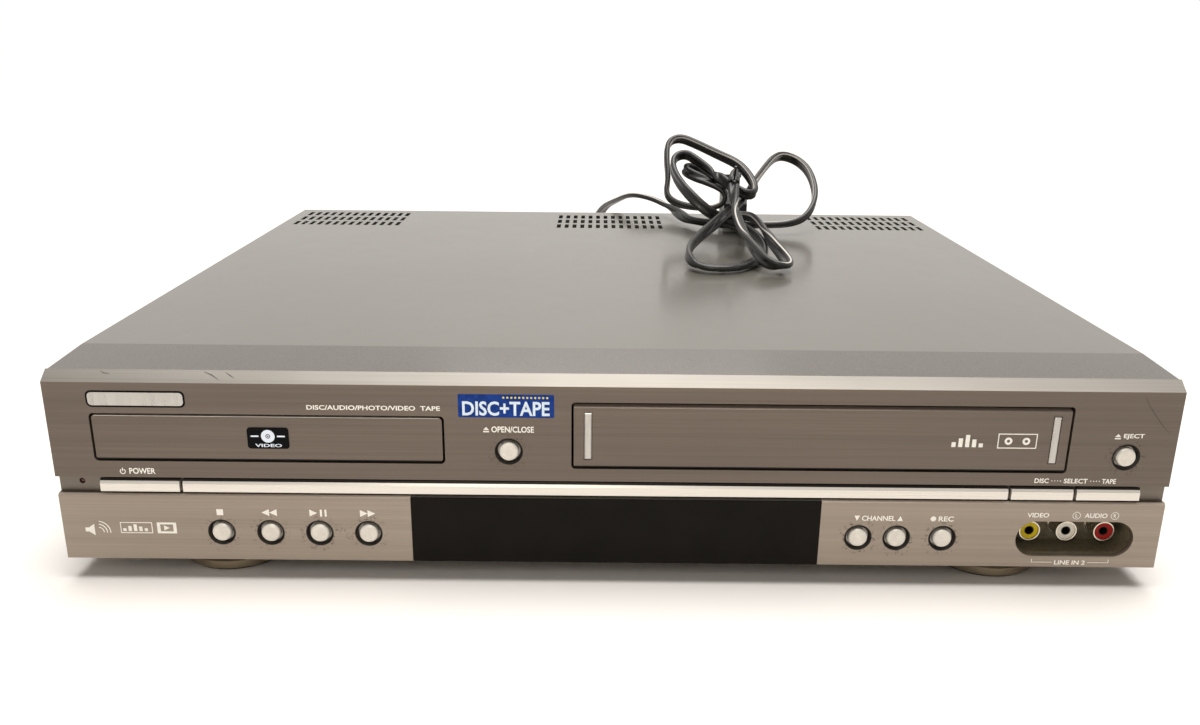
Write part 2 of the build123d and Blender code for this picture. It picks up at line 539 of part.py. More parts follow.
def tuner_block():
    """Folded metal can of the aerial tuner with two coaxial sockets."""
    can = block(grown(AERIAL_X, 13), (REAR_INNER - 58, REAR_INNER), (AERIAL_Z - 16, AERIAL_Z + 12))
    can = chamfer(can.edges().filter_by(Axis.Y), 1)
    for x in AERIAL_X:
        can += rod_y(x, AERIAL_Z, AERIAL_COLLAR_R, (REAR_INNER - 0.1, REAR_INNER + SHEET))
        can += rod_y(x, AERIAL_Z, AERIAL_R, (REAR_INNER, REAR_MOST))
        can -= rod_y(x, AERIAL_Z, PIN_HOLE_R, (REAR_MOST - 6, REAR_MOST + 1))
    legs = [rod_z(x, REAR_INNER - 50, 3, (SHEET, AERIAL_Z - 15.9)) for x in AERIAL_X]
    return can + legs


# ---------------------------------------------------------------- boards


def board_on_posts(x, y, top):
    """A circuit board on four posts that stand on the base plate."""
    board = block(x, y, (top - BOARD_T, top))
    posts = [
        rod_z(px, py, 3, (SHEET, top - BOARD_T + 0.1))
        for px in grown(x, -6)
        for py in grown(y, -6)
    ]
    return board + posts


def main_board():
    """Signal board between the disc loader and the rear sockets."""
    left, front, back = MAIN_BOARD_LEFT, LOADER_Y[1] + MAIN_BOARD_AHEAD, REAR_INNER - MAIN_BOARD_BACK
    top = REAR_BOARD_TOP
    board = board_on_posts((left, left + MAIN_BOARD_W), (front, back), top)
    for cx, cy, w in ((55, front + 54, 28), (110, back - 38, 20), (105, front + 29, 16)):
        board += Pos(left + cx, cy, top + 1.05) * Box(w, w, 2.3)
    for cx, cy in ((15, front + 19), (27, front + 19), (145, back - 8), (145, back - 22)):
        board += rod_z(left + cx, cy, 4, (top - 0.1, top + 12))
    return board


def power_board():
    """Board of the mains supply: transformer, reservoir capacitors and a finned heat sink."""
    left, front, back = POWER_BOARD_LEFT, DECK_Y[1] + POWER_BOARD_AHEAD, REAR_INNER - POWER_BOARD_BACK
    top = REAR_BOARD_TOP
    low = top - 0.1
    board = board_on_posts((left, left + POWER_BOARD_W), (front, back), top)
    board += block((left + 94, left + 132), (back - 52, back - 20), (low, top + 26))
    board += block((left + 88, left + 138), (back - 44, back - 28), (low, top + 20))
    for cx, cy, r, h in ((54, back - 22, 9, 30), (54, back - 52, 8, 25), (68, front + 24, 6, 20)):
        board += rod_z(left + cx, cy, r, (low, top + h))
    fins = 6
    board += block((left + 10, left + 13), (front + 16, front + 66), (low, top + 30))
    for i in range(fins):
        fin_y = front + 17 + i * 9.4
        board += block((left + 12.9, left + 21), (fin_y, fin_y + 1.5), (low, top + 30))
    return board


# ---------------------------------------------------------------- disc loader


def tray_front():
    x, z = grown(TRAY_HOLE_X, -PANEL_GAP), grown(TRAY_HOLE_Z, -PANEL_GAP)
    return prism_y(rounded(x, z, TRAY_HOLE_R - 0.6), (0.1, TRAY_FRONT_T + 0.1))


def disc_tray():
    """Sliding tray: large and small disc seats, slot for the turntable, and the rack underneath."""
    low, top = TRAY_Z
    front = TRAY_FRONT_T + 0.1
    blank = prism_z(
        Pos(TRAY_X, (front + TRAY_BACK) / 2) * Rectangle(TRAY_W, TRAY_BACK - front), (low, top)
    )
    blank = chamfer(blank.edges().filter_by(Axis.Z).group_by(Axis.Y)[-1], 6)
    blank -= rod_z(TRAY_X, DISC_Y, DISC_R, (top - DISC_DEPTH, top + 1))
    blank -= rod_z(TRAY_X, DISC_Y, SMALL_DISC_R, (top - SMALL_DISC_DEPTH, top + 1))
    slot_half = TRAY_SLOT_W / 2
    slot = rod_z(TRAY_X, DISC_Y, slot_half, (low - 1, top + 1))
    slot += block((TRAY_X - slot_half, TRAY_X + slot_half), (DISC_Y, TRAY_BACK + 1), (low - 1, top + 1))
    blank -= slot
    return blank + rack()


def tooth(reach, root, pitch_half):
    """Trapezoid tooth that points along +x from its pitch line at x = 0."""
    lean = math.tan(math.radians(20))
    return outline(
        (-root, -pitch_half - root * lean), (reach, -pitch_half + reach * lean),
        (reach, pitch_half - reach * lean), (-root, pitch_half + root * lean),
    )  # fmt: skip


def rack():
    """Toothed bar under the tray; a gap between two teeth faces the gear at rest."""
    low = TRAY_Z[0] - GEAR_T - 0.4
    teeth_x = TRAY_X + RACK_X
    root = 1.2 * MODULE
    start, stop = GEAR_Y - 2 * PITCH, TRAY_BACK - 1
    bar = block((teeth_x + root - 0.1, teeth_x + RACK_W), (start, stop), (low, TRAY_Z[0] + 0.1))
    count = int((stop - start) / PITCH)
    profile = Rot(0, 0, 180) * tooth(0.9 * MODULE, root, TOOTH_SHARE * PITCH / 2)
    teeth = Sketch() + [
        Pos(teeth_x, GEAR_Y + (i - 1.5) * PITCH) * profile for i in range(count)
    ]
    return [bar, prism_z(teeth, (low, TRAY_Z[0] + 0.1))]


def tray_gear():
    """Pinion that drives the rack, on a post of the loader's floor."""
    root = 1.2 * MODULE
    blank = Sketch() + Circle(GEAR_R - root + 0.2)
    profile = tooth(0.9 * MODULE, root, TOOTH_SHARE * PITCH / 2)
    for i in range(GEAR_TEETH):
        blank += Rot(0, 0, i * 360 / GEAR_TEETH) * Pos(GEAR_R, 0) * profile
    top = TRAY_Z[0] - 0.4
    wheel = prism_z(Pos(GEAR_X, GEAR_Y) * blank, (top - GEAR_T, top))
    wheel += rod_z(GEAR_X, GEAR_Y, 4.5, (LOADER_Z[0] + LOADER_FLOOR + 0.3, top))
    return wheel - rod_z(GEAR_X, GEAR_Y, SHAFT_R + RUN, (LOADER_Z[0], top + 1))


def loader_frame():
    """Moulded frame: floor with a window, side walls, rails for the tray, ears and legs."""
    inner = LOADER_HALF
    outer = inner + LOADER_WALL
    low, top = LOADER_Z
    floor_top = low + LOADER_FLOOR
    floor = Pos(TRAY_X, sum(LOADER_Y) / 2) * Rectangle(2 * outer, LOADER_Y[1] - LOADER_Y[0])
    floor -= Pos(TRAY_X, sum(LOADER_WINDOW_Y) / 2) * RectangleRounded(
        LOADER_WINDOW_W, LOADER_WINDOW_Y[1] - LOADER_WINDOW_Y[0], 5
    )
    frame = prism_z(floor, (low, floor_top))
    for side in (-1, 1):
        wall = sorted((TRAY_X + side * inner, TRAY_X + side * outer))
        frame += block(wall, LOADER_Y, (low, top))
        rail = sorted((TRAY_X + side * (inner - 3.4), TRAY_X + side * (inner + 0.1)))
        frame += block(rail, LOADER_Y, (TRAY_Z[0] - 2, TRAY_Z[0] - FIT))
        tab_y = (LOADER_Y[0], LOADER_Y[0] + 12)
        frame += block(rail, tab_y, (TRAY_Z[1] + FIT, TRAY_Z[1] + 2))
        ear_x = sorted((TRAY_X + side * (TRAVERSE_W / 2 + 0.3), TRAY_X + side * (TRAVERSE_W / 2 + 4)))
        ear_y = grown((TRAVERSE_PIVOT_Y, TRAVERSE_PIVOT_Y), 5)
        ear = block(ear_x, ear_y, (floor_top - 0.1, TRAVERSE_PIVOT_Z + 5))
        frame += ear - rod_x(TRAVERSE_PIVOT_Y, TRAVERSE_PIVOT_Z, SHAFT_R + RUN, grown(ear_x, 1))
        for y in grown(LOADER_Y, -8):
            frame += rod_z(TRAY_X + side * (inner - LEG_R), y, LEG_R, (SHEET, low + 0.1))
    frame += rod_z(GEAR_X, GEAR_Y, SHAFT_R, (low, TRAY_Z[0] - 0.6))
    for y in grown(LOADER_WINDOW_Y, 4):
        frame += block((TRAY_X - outer, TRAY_X + outer), (y - 1, y + 1), (floor_top - 0.1, floor_top + 4))
    return frame


def clamp_bridge():
    """Pressed plate across the loader with the hole that holds the clamp disc."""
    outer = LOADER_HALF + LOADER_WALL
    low = LOADER_Z[1]
    x = (TRAY_X - outer, TRAY_X + outer)
    waist = outline(
        (x[0], BRIDGE_Y[0]), (x[0] + 18, BRIDGE_Y[0]), (x[0] + 30, BRIDGE_Y[0] + 6),
        (x[1] - 30, BRIDGE_Y[0] + 6), (x[1] - 18, BRIDGE_Y[0]), (x[1], BRIDGE_Y[0]),
        (x[1], BRIDGE_Y[1]), (x[0], BRIDGE_Y[1]),
    )  # fmt: skip
    plate = prism_z(waist, (low, low + BRIDGE_T)) + block(
        grown(x, -20), (BRIDGE_Y[1] - BRIDGE_T, BRIDGE_Y[1]), (low, low + 5)
    )
    return plate - rod_z(TRAY_X, DISC_Y, BRIDGE_HOLE_R, (low - 1, low + BRIDGE_T + 1))


def clamp_disc():
    r = BRIDGE_HOLE_R - RUN
    flange = LOADER_Z[1] + BRIDGE_T + 0.1
    top = flange + CLAMP_FLANGE_T
    recess = HUB_TOP + 0.5
    profile = outline(
        (0, recess), (HUB_R + 0.6, recess), (HUB_R + 0.6, CLAMP_LOW), (r, CLAMP_LOW), (r, flange),
        (CLAMP_FLANGE_R, flange), (CLAMP_FLANGE_R, top), (5, top), (5, recess + 2), (0, recess + 2),
    )  # fmt: skip
    return revolved_z(profile, TRAY_X, DISC_Y)


def traverse_frame():
    """Tilting steel frame that carries the spindle motor, the rods and the pickup."""
    half = TRAVERSE_W / 2
    low, top = TRAVERSE_Z
    y0, y1 = TRAVERSE_Y
    plate = Pos(TRAY_X, (y0 + y1) / 2) * RectangleRounded(TRAVERSE_W, y1 - y0, 6)
    window_w = 2 * ROD_X + 10
    plate -= Pos(TRAY_X, sum(ROD_Y) / 2) * RectangleRounded(window_w, ROD_Y[1] - ROD_Y[0] - 4, 4)
    frame = prism_z(plate, (low, top))
    for y in ((ROD_Y[0] - 2, ROD_Y[0]), (ROD_Y[1], ROD_Y[1] + 2)):
        frame += block(grown((TRAY_X, TRAY_X), ROD_X + 5), y, (low, ROD_Z + 3))
    for side in (-1, 1):
        wall = sorted((TRAY_X + side * (half - 1.2), TRAY_X + side * half))
        frame += block(wall, (y0 + 8, y1 - 1), (low, TRAVERSE_PIVOT_Z + 3.5))
        pin = sorted((TRAY_X + side * (half - 0.2), TRAY_X + side * (half + 3.8)))
        frame += rod_x(TRAVERSE_PIVOT_Y, TRAVERSE_PIVOT_Z, SHAFT_R, pin)
    return frame


def spindle_motor():
    base = TRAVERSE_Z[1]
    profile = outline(
        (SPINDLE_R + RUN, base), (MOTOR_R + 2, base), (MOTOR_R + 2, base + 1.5), (MOTOR_R, base + 1.5),
        (MOTOR_R, MOTOR_TOP - 1), (MOTOR_R - 1, MOTOR_TOP), (SPINDLE_R + RUN, MOTOR_TOP),
    )  # fmt: skip
    return revolved_z(profile, TRAY_X, DISC_Y)


def turntable():
    """Platter with its centring hub and the motor's shaft."""
    low = MOTOR_TOP + FIT
    top = low + PLATTER_T
    profile = outline(
        (0, TRAVERSE_Z[1] + 1), (SPINDLE_R, TRAVERSE_Z[1] + 1), (SPINDLE_R, low), (PLATTER_R, low),
        (PLATTER_R, top), (HUB_R, top), (HUB_R, HUB_TOP - 1.5), (HUB_R - 1.5, HUB_TOP), (0, HUB_TOP),
    )  # fmt: skip
    return revolved_z(profile, TRAY_X, DISC_Y)


def guide_rods():
    return [rod_y(TRAY_X + side * ROD_X, ROD_Z, ROD_R, ROD_Y) for side in (-1, 1)]


def pickup():
    """Sled that runs on the two rods, with the lens on its bridge."""
    y = (ROD_Y[0] + 2, ROD_Y[0] + 32)
    body = block(grown((TRAY_X, TRAY_X), ROD_X - 5), y, (ROD_Z - 3.5, ROD_Z + 4))
    for side in (-1, 1):
        boss = grown((TRAY_X + side * ROD_X, TRAY_X + side * ROD_X), 6)
        body += block(boss, grown(y, -6), (ROD_Z - 3, ROD_Z + 3))
        body -= rod_y(TRAY_X + side * ROD_X, ROD_Z, ROD_R + RUN, grown(y, 1))
    lens_y = y[0] + 6
    body += block(grown((TRAY_X, TRAY_X), 10), grown((lens_y, lens_y), 5.5), (ROD_Z + 3.9, ROD_Z + 6))
    lens = outline(
        (0, ROD_Z + 5.9), (5, ROD_Z + 5.9), (5, ROD_Z + 7.2), (2.6, ROD_Z + 7.2), (1.8, ROD_Z + 7.7),
        (0, ROD_Z + 7.9),
    )  # fmt: skip
    return body + revolved_z(lens, TRAY_X, lens_y)


# ---------------------------------------------------------------- cassette deck


def cassette_door():
    """Flap with a bevel along its top, two pockets for its trims, and arms up to its hinge pins."""
    x = grown(DOOR_HOLE_X, -PANEL_GAP)
    z = grown(DOOR_HOLE_Z, -PANEL_GAP)
    face, back = 0.1, 0.1 + DOOR_T
    door = prism_y(rounded(x, z, DOOR_HOLE_R - 0.6), (face, back))
    door -= prism_x(
        outline((face - 1, z[1] - DOOR_BEVEL - 1), (face + DOOR_BEVEL + 1, z[1] + 1), (face - 1, z[1] + 1)),
        grown(x, 1),
    )
    for trim in TRIM_X:
        door -= block(grown(trim, FIT), (face - 1, face + TRIM_T), grown(TRIM_Z, FIT))
    door += block(grown(x, -6), (back - 0.1, back + 2), (z[0] + 1, z[0] + 2.5))
    rear = DOOR_AXIS_Y + DOOR_EYE_R
    arm = outline(
        (back - 0.1, z[1] - 10), (back - 0.1, z[1] - 1), (back + 0.3, z[1]), (back + 0.3, DOOR_AXIS_Z),
        (rear, DOOR_AXIS_Z), (rear, z[1] - 3),
    )  # fmt: skip
    for outer, side in zip(x, (-1, 1)):
        arm_x = sorted((outer, outer - side * DOOR_ARM))
        door += prism_x(arm, arm_x) + rod_x(DOOR_AXIS_Y, DOOR_AXIS_Z, DOOR_EYE_R, arm_x)
        door += rod_x(DOOR_AXIS_Y, DOOR_AXIS_Z, DOOR_PIN_R, sorted((outer - side, outer + side * 3.3)))
    return door


def door_trims():
    bars = [block(x, (-0.3, 0.1 + TRIM_T), TRIM_Z) for x in TRIM_X]
    return [chamfer(bar.faces().sort_by(Axis.Y)[0].edges(), 0.3) for bar in bars]


def deck_plate():
    """Pressed deck: folded sides that stand on the base, holes, posts for the reels and tape guides."""
    x = (SIDE_PLATE_X[0] - 4, SIDE_PLATE_X[1] + SIDE_PLATE_T + 5)
    top = DECK_Z + DECK_SHEET
    plate = outline(
        (x[0], DECK_Y[0]), (x[1], DECK_Y[0]), (x[1], DECK_Y[1] - 20), (x[1] - 14, DECK_Y[1]),
        (x[0] + 30, DECK_Y[1]), (x[0], DECK_Y[1] - 30),
    )  # fmt: skip
    plate -= Pos(CASSETTE_MID, REEL_Y) * RectangleRounded(44, 60, 6)
    plate -= Pos(CASSETTE_MID, 56) * RectangleRounded(120, 12, 4)
    plate -= Pos(CAPSTAN_X, CAPSTAN_Y) * Circle(CAPSTAN_R + RUN)
    deck = prism_z(plate, (DECK_Z, top))
    for side in ((x[0], x[0] + DECK_SHEET), (x[1] - DECK_SHEET, x[1])):
        deck += block(side, (DECK_Y[0], DECK_Y[1] - 32), (SHEET, top))
    for reel_x in reel_places():
        deck += rod_z(reel_x, REEL_Y, SHAFT_R, (DECK_Z, REEL_TOP - 3))
    deck += rod_z(*PINCH_PIVOT, SHAFT_R, (DECK_Z, ROLLER_Z[1] + 2))
    for post_x, post_y in ((-44, -24), (-30, -30), (30, -30), (44, -24)):
        deck += rod_z(CASSETTE_MID + post_x, DRUM_Y + post_y, 2.5, (DECK_Z, 40))
    head_x = CAPSTAN_X - 28
    return deck + block((head_x - 5, head_x + 5), (CAPSTAN_Y + 6, CAPSTAN_Y + 18), (DECK_Z, 38))


def reel_places():
    return [CASSETTE_MID - REEL_SPAN / 2, CASSETTE_MID + REEL_SPAN / 2]


def reel(x):
    """Reel table with a three-finned spindle that enters the cassette's hub."""
    low = DECK_Z + DECK_SHEET + 0.2
    profile = outline(
        (SHAFT_R + RUN, low), (REEL_TABLE_R, low), (REEL_TABLE_R, low + 2.5), (REEL_HUB_R + 3, low + 2.5),
        (REEL_HUB_R + 3, low + 5), (REEL_HUB_R - 2, low + 5), (REEL_HUB_R - 2, REEL_TOP - 2),
        (SHAFT_R + 1, REEL_TOP), (SHAFT_R + RUN, REEL_TOP),
    )  # fmt: skip
    table = revolved_z(profile, x, REEL_Y)
    for i in range(3):
        fin = block((SHAFT_R + 1, REEL_HUB_R + 1), (-0.9, 0.9), (low + 4, REEL_TOP - 3))
        table += Pos(x, REEL_Y, 0) * Rot(0, 0, 120 * i) * fin
    return table


def side_plates():
    """Two upright plates with the slots that the sliders' pins run in."""
    plates = []
    for x0 in SIDE_PLATE_X:
        y0, y1 = SIDE_PLATE_Y
        low = DECK_Z + DECK_SHEET
        sheet = outline(
            (y0, low), (y0, SIDE_PLATE_TOP - 8), (y0 + 8, SIDE_PLATE_TOP), (y1 - 30, SIDE_PLATE_TOP),
            (y1, SIDE_PLATE_TOP - 30), (y1, low),
        )  # fmt: skip
        slot_h = 2 * (SHAFT_R + 0.2)
        for pin_y in CARRIAGE_PIN_Y:
            reach = CARRIAGE_IN + slot_h
            # the sliders' pins stay inside these slots over their whole travel
            middle = pin_y + CARRIAGE_IN / 2
            sheet -= Pos(middle, GUIDE_PIN_Z) * SlotOverall(reach + 0.4, slot_h)
        sheet -= Pos((y0 + y1) / 2, 30) * RectangleRounded(80, 18, 5)
        plates.append(prism_x(sheet, (x0, x0 + SIDE_PLATE_T)))
    return plates


def carriage_sliders():
    """Two plates that carry the carriage in; it sinks between them along their upright slots."""
    sliders = []
    for x0, side in zip(SLIDER_X, (-1, 1)):
        sheet = Pos(sum(SLIDER_Y) / 2, sum(SLIDER_Z) / 2) * RectangleRounded(
            SLIDER_Y[1] - SLIDER_Y[0], SLIDER_Z[1] - SLIDER_Z[0], 3
        )
        slot_w = 2 * (SHAFT_R + 0.2)
        reach = CARRIAGE_DOWN + slot_w
        lowest = CARRIAGE_PIN_Z - CARRIAGE_DOWN
        for pin_y in CARRIAGE_PIN_Y:
            middle = (CARRIAGE_PIN_Z + lowest) / 2
            sheet -= Pos(pin_y, middle) * SlotOverall(reach + 0.4, slot_w, rotation=90)
        sheet -= Pos(sum(SLIDER_Y) / 2, 42) * Circle(9)
        plate = prism_x(sheet, (x0, x0 + SLIDER_T))
        outer = x0 if side < 0 else x0 + SLIDER_T
        pin = sorted((outer - side * 0.1, outer + side * (SIDE_GAP + SIDE_PLATE_T)))
        for pin_y in CARRIAGE_PIN_Y:
            plate += rod_x(pin_y, GUIDE_PIN_Z, SHAFT_R, pin)
        sliders.append(plate)
    return sliders


def cassette_carriage():
    """Folded cradle open below: two ledges under the cassette's edges, sides and a pressed top."""
    x0, x1 = CARRIAGE_X
    t = CARRIAGE_SHEET
    low, top = CASSETTE_FLOOR - t, CASSETTE_FLOOR + CASSETTE_H + 0.4
    section = outline(
        (x0 - t, low), (x0 + LEDGE, low), (x0 + LEDGE, low + t), (x0, low + t), (x0, top), (x1, top),
        (x1, low + t), (x1 - LEDGE, low + t), (x1 - LEDGE, low), (x1 + t, low), (x1 + t, top + t),
        (x0 - t, top + t),
    )  # fmt: skip
    cradle = prism_y(section, CARRIAGE_Y)
    middle = sum(CARRIAGE_Y) / 2
    windows = Sketch() + [
        Pos(x, middle) * RectangleRounded(34, 46, 5) for x in (x0 + 36, CASSETTE_MID, x1 - 36)
    ]
    cradle -= prism_z(windows, (top - 1, top + t + 1))
    for outer, side in ((x0 - t, -1), (x1 + t, 1)):
        pin = sorted((outer - side * 0.1, outer + side * (SIDE_GAP + SLIDER_T)))
        for pin_y in CARRIAGE_PIN_Y:
            cradle += rod_x(pin_y, CARRIAGE_PIN_Z, SHAFT_R, pin)
    return cradle


def on_drum(shape):
    """Stand a shape that was modelled upright at the origin on the drum's leaning axis."""
    return Pos(CASSETTE_MID, DRUM_Y, DECK_Z + DECK_SHEET + 4) * Rot(DRUM_TILT, 0, 0) * shape


def drum_base():
    """Fixed lower drum with its shaft, on a round foot."""
    foot = rod_z(CASSETTE_MID, DRUM_Y, DRUM_R - 3, (DECK_Z + DECK_SHEET, DECK_Z + DECK_SHEET + 7))
    profile = outline(
        (0, 0), (DRUM_R - 2, 0), (DRUM_R, 1.5), (DRUM_R, DRUM_BASE_H - 2), (DRUM_R - 1, DRUM_BASE_H),
        (DRUM_SHAFT_R, DRUM_BASE_H), (DRUM_SHAFT_R, DRUM_BASE_H + DRUM_H + 1.5),
        (0, DRUM_BASE_H + DRUM_H + 1.5),
    )  # fmt: skip
    return on_drum(revolved_z(profile, 0, 0)) + foot


def head_drum():
    """Spinning upper drum with its ring step and the notches where the heads look out."""
    low = DRUM_BASE_H + FIT
    top = DRUM_BASE_H + DRUM_H
    profile = outline(
        (DRUM_SHAFT_R + RUN, low), (DRUM_R, low), (DRUM_R, top - 1.5), (DRUM_R - 1.5, top),
        (DRUM_R - 8, top), (DRUM_R - 8, top - 3), (9, top - 3), (9, top), (DRUM_SHAFT_R + RUN, top),
    )  # fmt: skip
    drum = revolved_z(profile, 0, 0)
    for i in range(4):
        drum -= Rot(0, 0, 45 + 90 * i) * block((DRUM_R - 2.5, DRUM_R + 1), (-2.5, 2.5), (low - 1, low + 2))
    return on_drum(drum)


def capstan():
    """Capstan shaft with its flywheel under the deck."""
    profile = outline(
        (0, 2), (FLYWHEEL_R, 2), (FLYWHEEL_R, 6.5), (FLYWHEEL_R - 4, 6.5), (FLYWHEEL_R - 4, 4.5),
        (5, 4.5), (5, 7.5), (CAPSTAN_R, 7.5), (CAPSTAN_R, CAPSTAN_TOP), (0, CAPSTAN_TOP),
    )  # fmt: skip
    return revolved_z(profile, CAPSTAN_X, CAPSTAN_Y)


def pinch_arm():
    """Arm that presses the rubber roller against the capstan."""
    low, top = ROLLER_Z[0] - 2.4, ROLLER_Z[0] - 0.3
    roller = (PINCH_PIVOT[0] + PINCH_REACH[0], PINCH_PIVOT[1] + PINCH_REACH[1])
    hull = make_hull([(Pos(*PINCH_PIVOT) * Circle(4.5)).edge(), (Pos(*roller) * Circle(3.5)).edge()])
    arm = prism_z(hull, (low, top))
    arm += rod_z(*PINCH_PIVOT, 4.5, (DECK_Z + DECK_SHEET + 0.2, ROLLER_Z[1]))
    arm += rod_z(*roller, SHAFT_R, (top - 0.1, ROLLER_Z[1] + 1))
    return arm - rod_z(*PINCH_PIVOT, SHAFT_R + RUN, (DECK_Z, ROLLER_Z[1] + 1))


def pinch_roller():
    roller = (PINCH_PIVOT[0] + PINCH_REACH[0], PINCH_PIVOT[1] + PINCH_REACH[1])
    return rod_z(*roller, ROLLER_R, ROLLER_Z) - rod_z(*roller, SHAFT_R + RUN, grown(ROLLER_Z, 1))


# ---------------------------------------------------------------- mains lead


def corner_radii(points):
    """Each corner's arc: as large as its two runs allow."""
    radii = []
    for before, corner, after in zip(points, points[1:], points[2:]):
        a, b = Vector(corner) - Vector(before), Vector(after) - Vector(corner)
        half_turn = math.radians(a.get_angle(b) / 2)
        radii.append(0.45 * min(a.length, b.length) / math.tan(half_turn))
    return radii


def tube(points, name):
    """Round lead swept along straight runs joined by tangent arcs."""
    radii = corner_radii(points)
    path = FilletPolyline(*points, radius=radii)
    start = Plane(path @ 0, z_dir=path % 0)
    solid = sweep(start * Circle(LEAD_D / 2), path)
    expected = math.pi * LEAD_D**2 / 4 * path.length
    print(name, "radii", [round(r) for r in radii])
    print(name, f"length {path.length:.0f}, volume {solid.volume:.0f} of {expected:.0f}")
    return solid, path


def least_gap(path, step=1.5):
    """Least clear distance of the lead to itself, measured between points along its route."""
    count = int(path.length / step)
    points = [path @ (i / count) for i in range(count + 1)]
    apart = int(4 * LEAD_D / step)
    gaps = [
        (points[i] - points[j]).length - LEAD_D
        for i in range(0, count - apart, 2)
        for j in range(i + apart, count + 1, 2)
    ]
    return min(gaps)


def lead_relief():
    """Tapered, ribbed strain relief, seated in the rear panel."""
    root, tip = REAR_INNER + SHEET, REAR_INNER + SHEET + RELIEF_LENGTH
    count = 5
    inside, flange = REAR_INNER - 2, REAR_INNER - 0.1
    points = [(0, inside), (RELIEF_R + 1.5, inside), (RELIEF_R + 1.5, flange), (RELIEF_R, flange)]
    points += [(RELIEF_R, root + 2)]
    for i in range(count):
        y = root + 2 + (RELIEF_LENGTH - 5) * (i + 0.5) / count
        r = RELIEF_R + (RELIEF_TIP_R - RELIEF_R) * (y - root) / RELIEF_LENGTH
        points += [(r - 1.0, y), (r - 1.0, y + 1), (r, y + 1.2), (r, y + 2.6)]
    points += [(RELIEF_TIP_R, tip - 1), (RELIEF_TIP_R - 0.5, tip), (0, tip)]
    return revolved_y(outline(*points), RELIEF_X, RELIEF_Z)


def mains_plug():
    """Two-blade moulded plug that lies on its side behind the loops; the lead enters its front end."""
    x, y, z = LOOP_ROUTE[-1]
    thick, length, wide = PLUG
    shoulder = outline(
        (y, z - 4), (y, z + 4), (y + 6, z + 4), (y + 12, z + wide / 2), (y + length, z + wide / 2),
        (y + length, z - wide / 2), (y + 12, z - wide / 2), (y + 6, z - 4),
    )  # fmt: skip
    body = prism_x(shoulder, grown((x, x), thick / 2))
    neck = block(grown((x, x), thick), (y - 1, y + 6), grown((z, z), wide))
    body -= neck - block(grown((x, x), 4), (y - 1, y + 6), grown((z, z), wide))
    grips = [block(grown((x, x), thick), (y + 15 + 4 * i, y + 17 + 4 * i), (z - 5, z + 5)) for i in range(3)]
    core = block(grown((x, x), thick / 2 - 0.8), (y, y + length), grown((z, z), wide / 2))
    body -= [grip - core for grip in grips]
    across, out, high = BLADE[2], BLADE[1], BLADE[0]
    for blade_z in (z - BLADE_SPAN / 2, z + BLADE_SPAN / 2):
        blade = block(
            grown((x, x), across / 2), (y + length - 1, y + length + out), grown((blade_z, blade_z), high / 2)
        )
        body += blade - rod_z(x, y + length + out - 3.2, 1.5, (z - wide, z + wide))
    return body


def twist_tie():
    """Thin tie wound round one strand where the loops cross, with its twisted ends standing off it."""
    start, stop = [Vector(*end) for end in TIE_RUN]
    bore = LEAD_D / 2 + 0.35
    place = Plane((start + stop) * 0.5, x_dir=(1, 0, 0), z_dir=(start - stop))
    ring = Cylinder(bore + TIE_T, TIE_W) - Cylinder(bore, TIE_W + 1)
    ends = Pos(0, -bore - 4.9, 0) * Box(1.2, 9, 1.2)
    return place * (ring + ends)


# ---------------------------------------------------------------- write every piece

lead, lead_path = tube(LEAD_ROUTE, "mains lead")
loops, loop_path = tube(LOOP_ROUTE, "lead bundle")
print(f"least gap of the loops to themselves {least_gap(loop_path):.2f}")
save("mains_lead", lead)
save("lead_bundle", loops)
save("lead_relief", lead_relief())
save("mains_plug", mains_plug())
save("twist_tie", twist_tie())

save("top_cover", top_cover())
save("front_panel", front_panel())
save("display_window", display_window())
save("base_plate", base_plate())
save("rear_panel", rear_panel())
save("feet", feet())
save("foot_pads", foot_pads())

for key, place in ROUND_KEYS.items():
    save(key, round_button(*place))
save("power_button", strip_button(*STRIP_SPLITS[0:2]))
save("strip_trim", strip_length(*STRIP_SPLITS[1:3], GROOVE_DEPTH))
save("disc_select_button", strip_button(*STRIP_SPLITS[2:4]))
save("tape_select_button", strip_button(*STRIP_SPLITS[3:5]))
save("front_board", front_board())
save("display_tube", display_tube())

save("jack_cup", jack_cup())
save("jack_sleeves", jack_sleeves())
for insert, x in JACKS.items():
    save(insert, jack_insert(x))
save("rear_jacks", rear_jacks())
save("tuner_block", tuner_block())
save("main_board", main_board())
save("power_board", power_board())

save("tray_front", tray_front())
save("disc_tray", disc_tray())
save("tray_gear", tray_gear())
save("loader_frame", loader_frame())
save("clamp_bridge", clamp_bridge())
save("clamp_disc", clamp_disc())
save("traverse_frame", traverse_frame())
save("spindle_motor", spindle_motor())
save("turntable", turntable())
save("guide_rods", guide_rods())
save("pickup", pickup())

save("cassette_door", cassette_door())
save("door_trims", door_trims())
save("deck_plate", deck_plate())
save("deck_side_plates", side_plates())
save("carriage_sliders", carriage_sliders())
save("cassette_carriage", cassette_carriage())
save("drum_base", drum_base())
save("head_drum", head_drum())
save("capstan", capstan())
save("pinch_arm", pinch_arm())
save("pinch_roller", pinch_roller())
supply_x, takeup_x = reel_places()
save("supply_reel", reel(supply_x))
save("takeup_reel", reel(takeup_x))
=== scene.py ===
# %% [markdown]
# A disc and video cassette player, dressed for its portrait.
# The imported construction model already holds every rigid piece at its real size. This notebook gives each
# of them its finish, adds the printed marks, the small screws and the flexible mains lead, and sets up the
# studio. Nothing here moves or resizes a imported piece.

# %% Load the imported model
import math

import bmesh
import bpy
from mathutils import Matrix, Vector


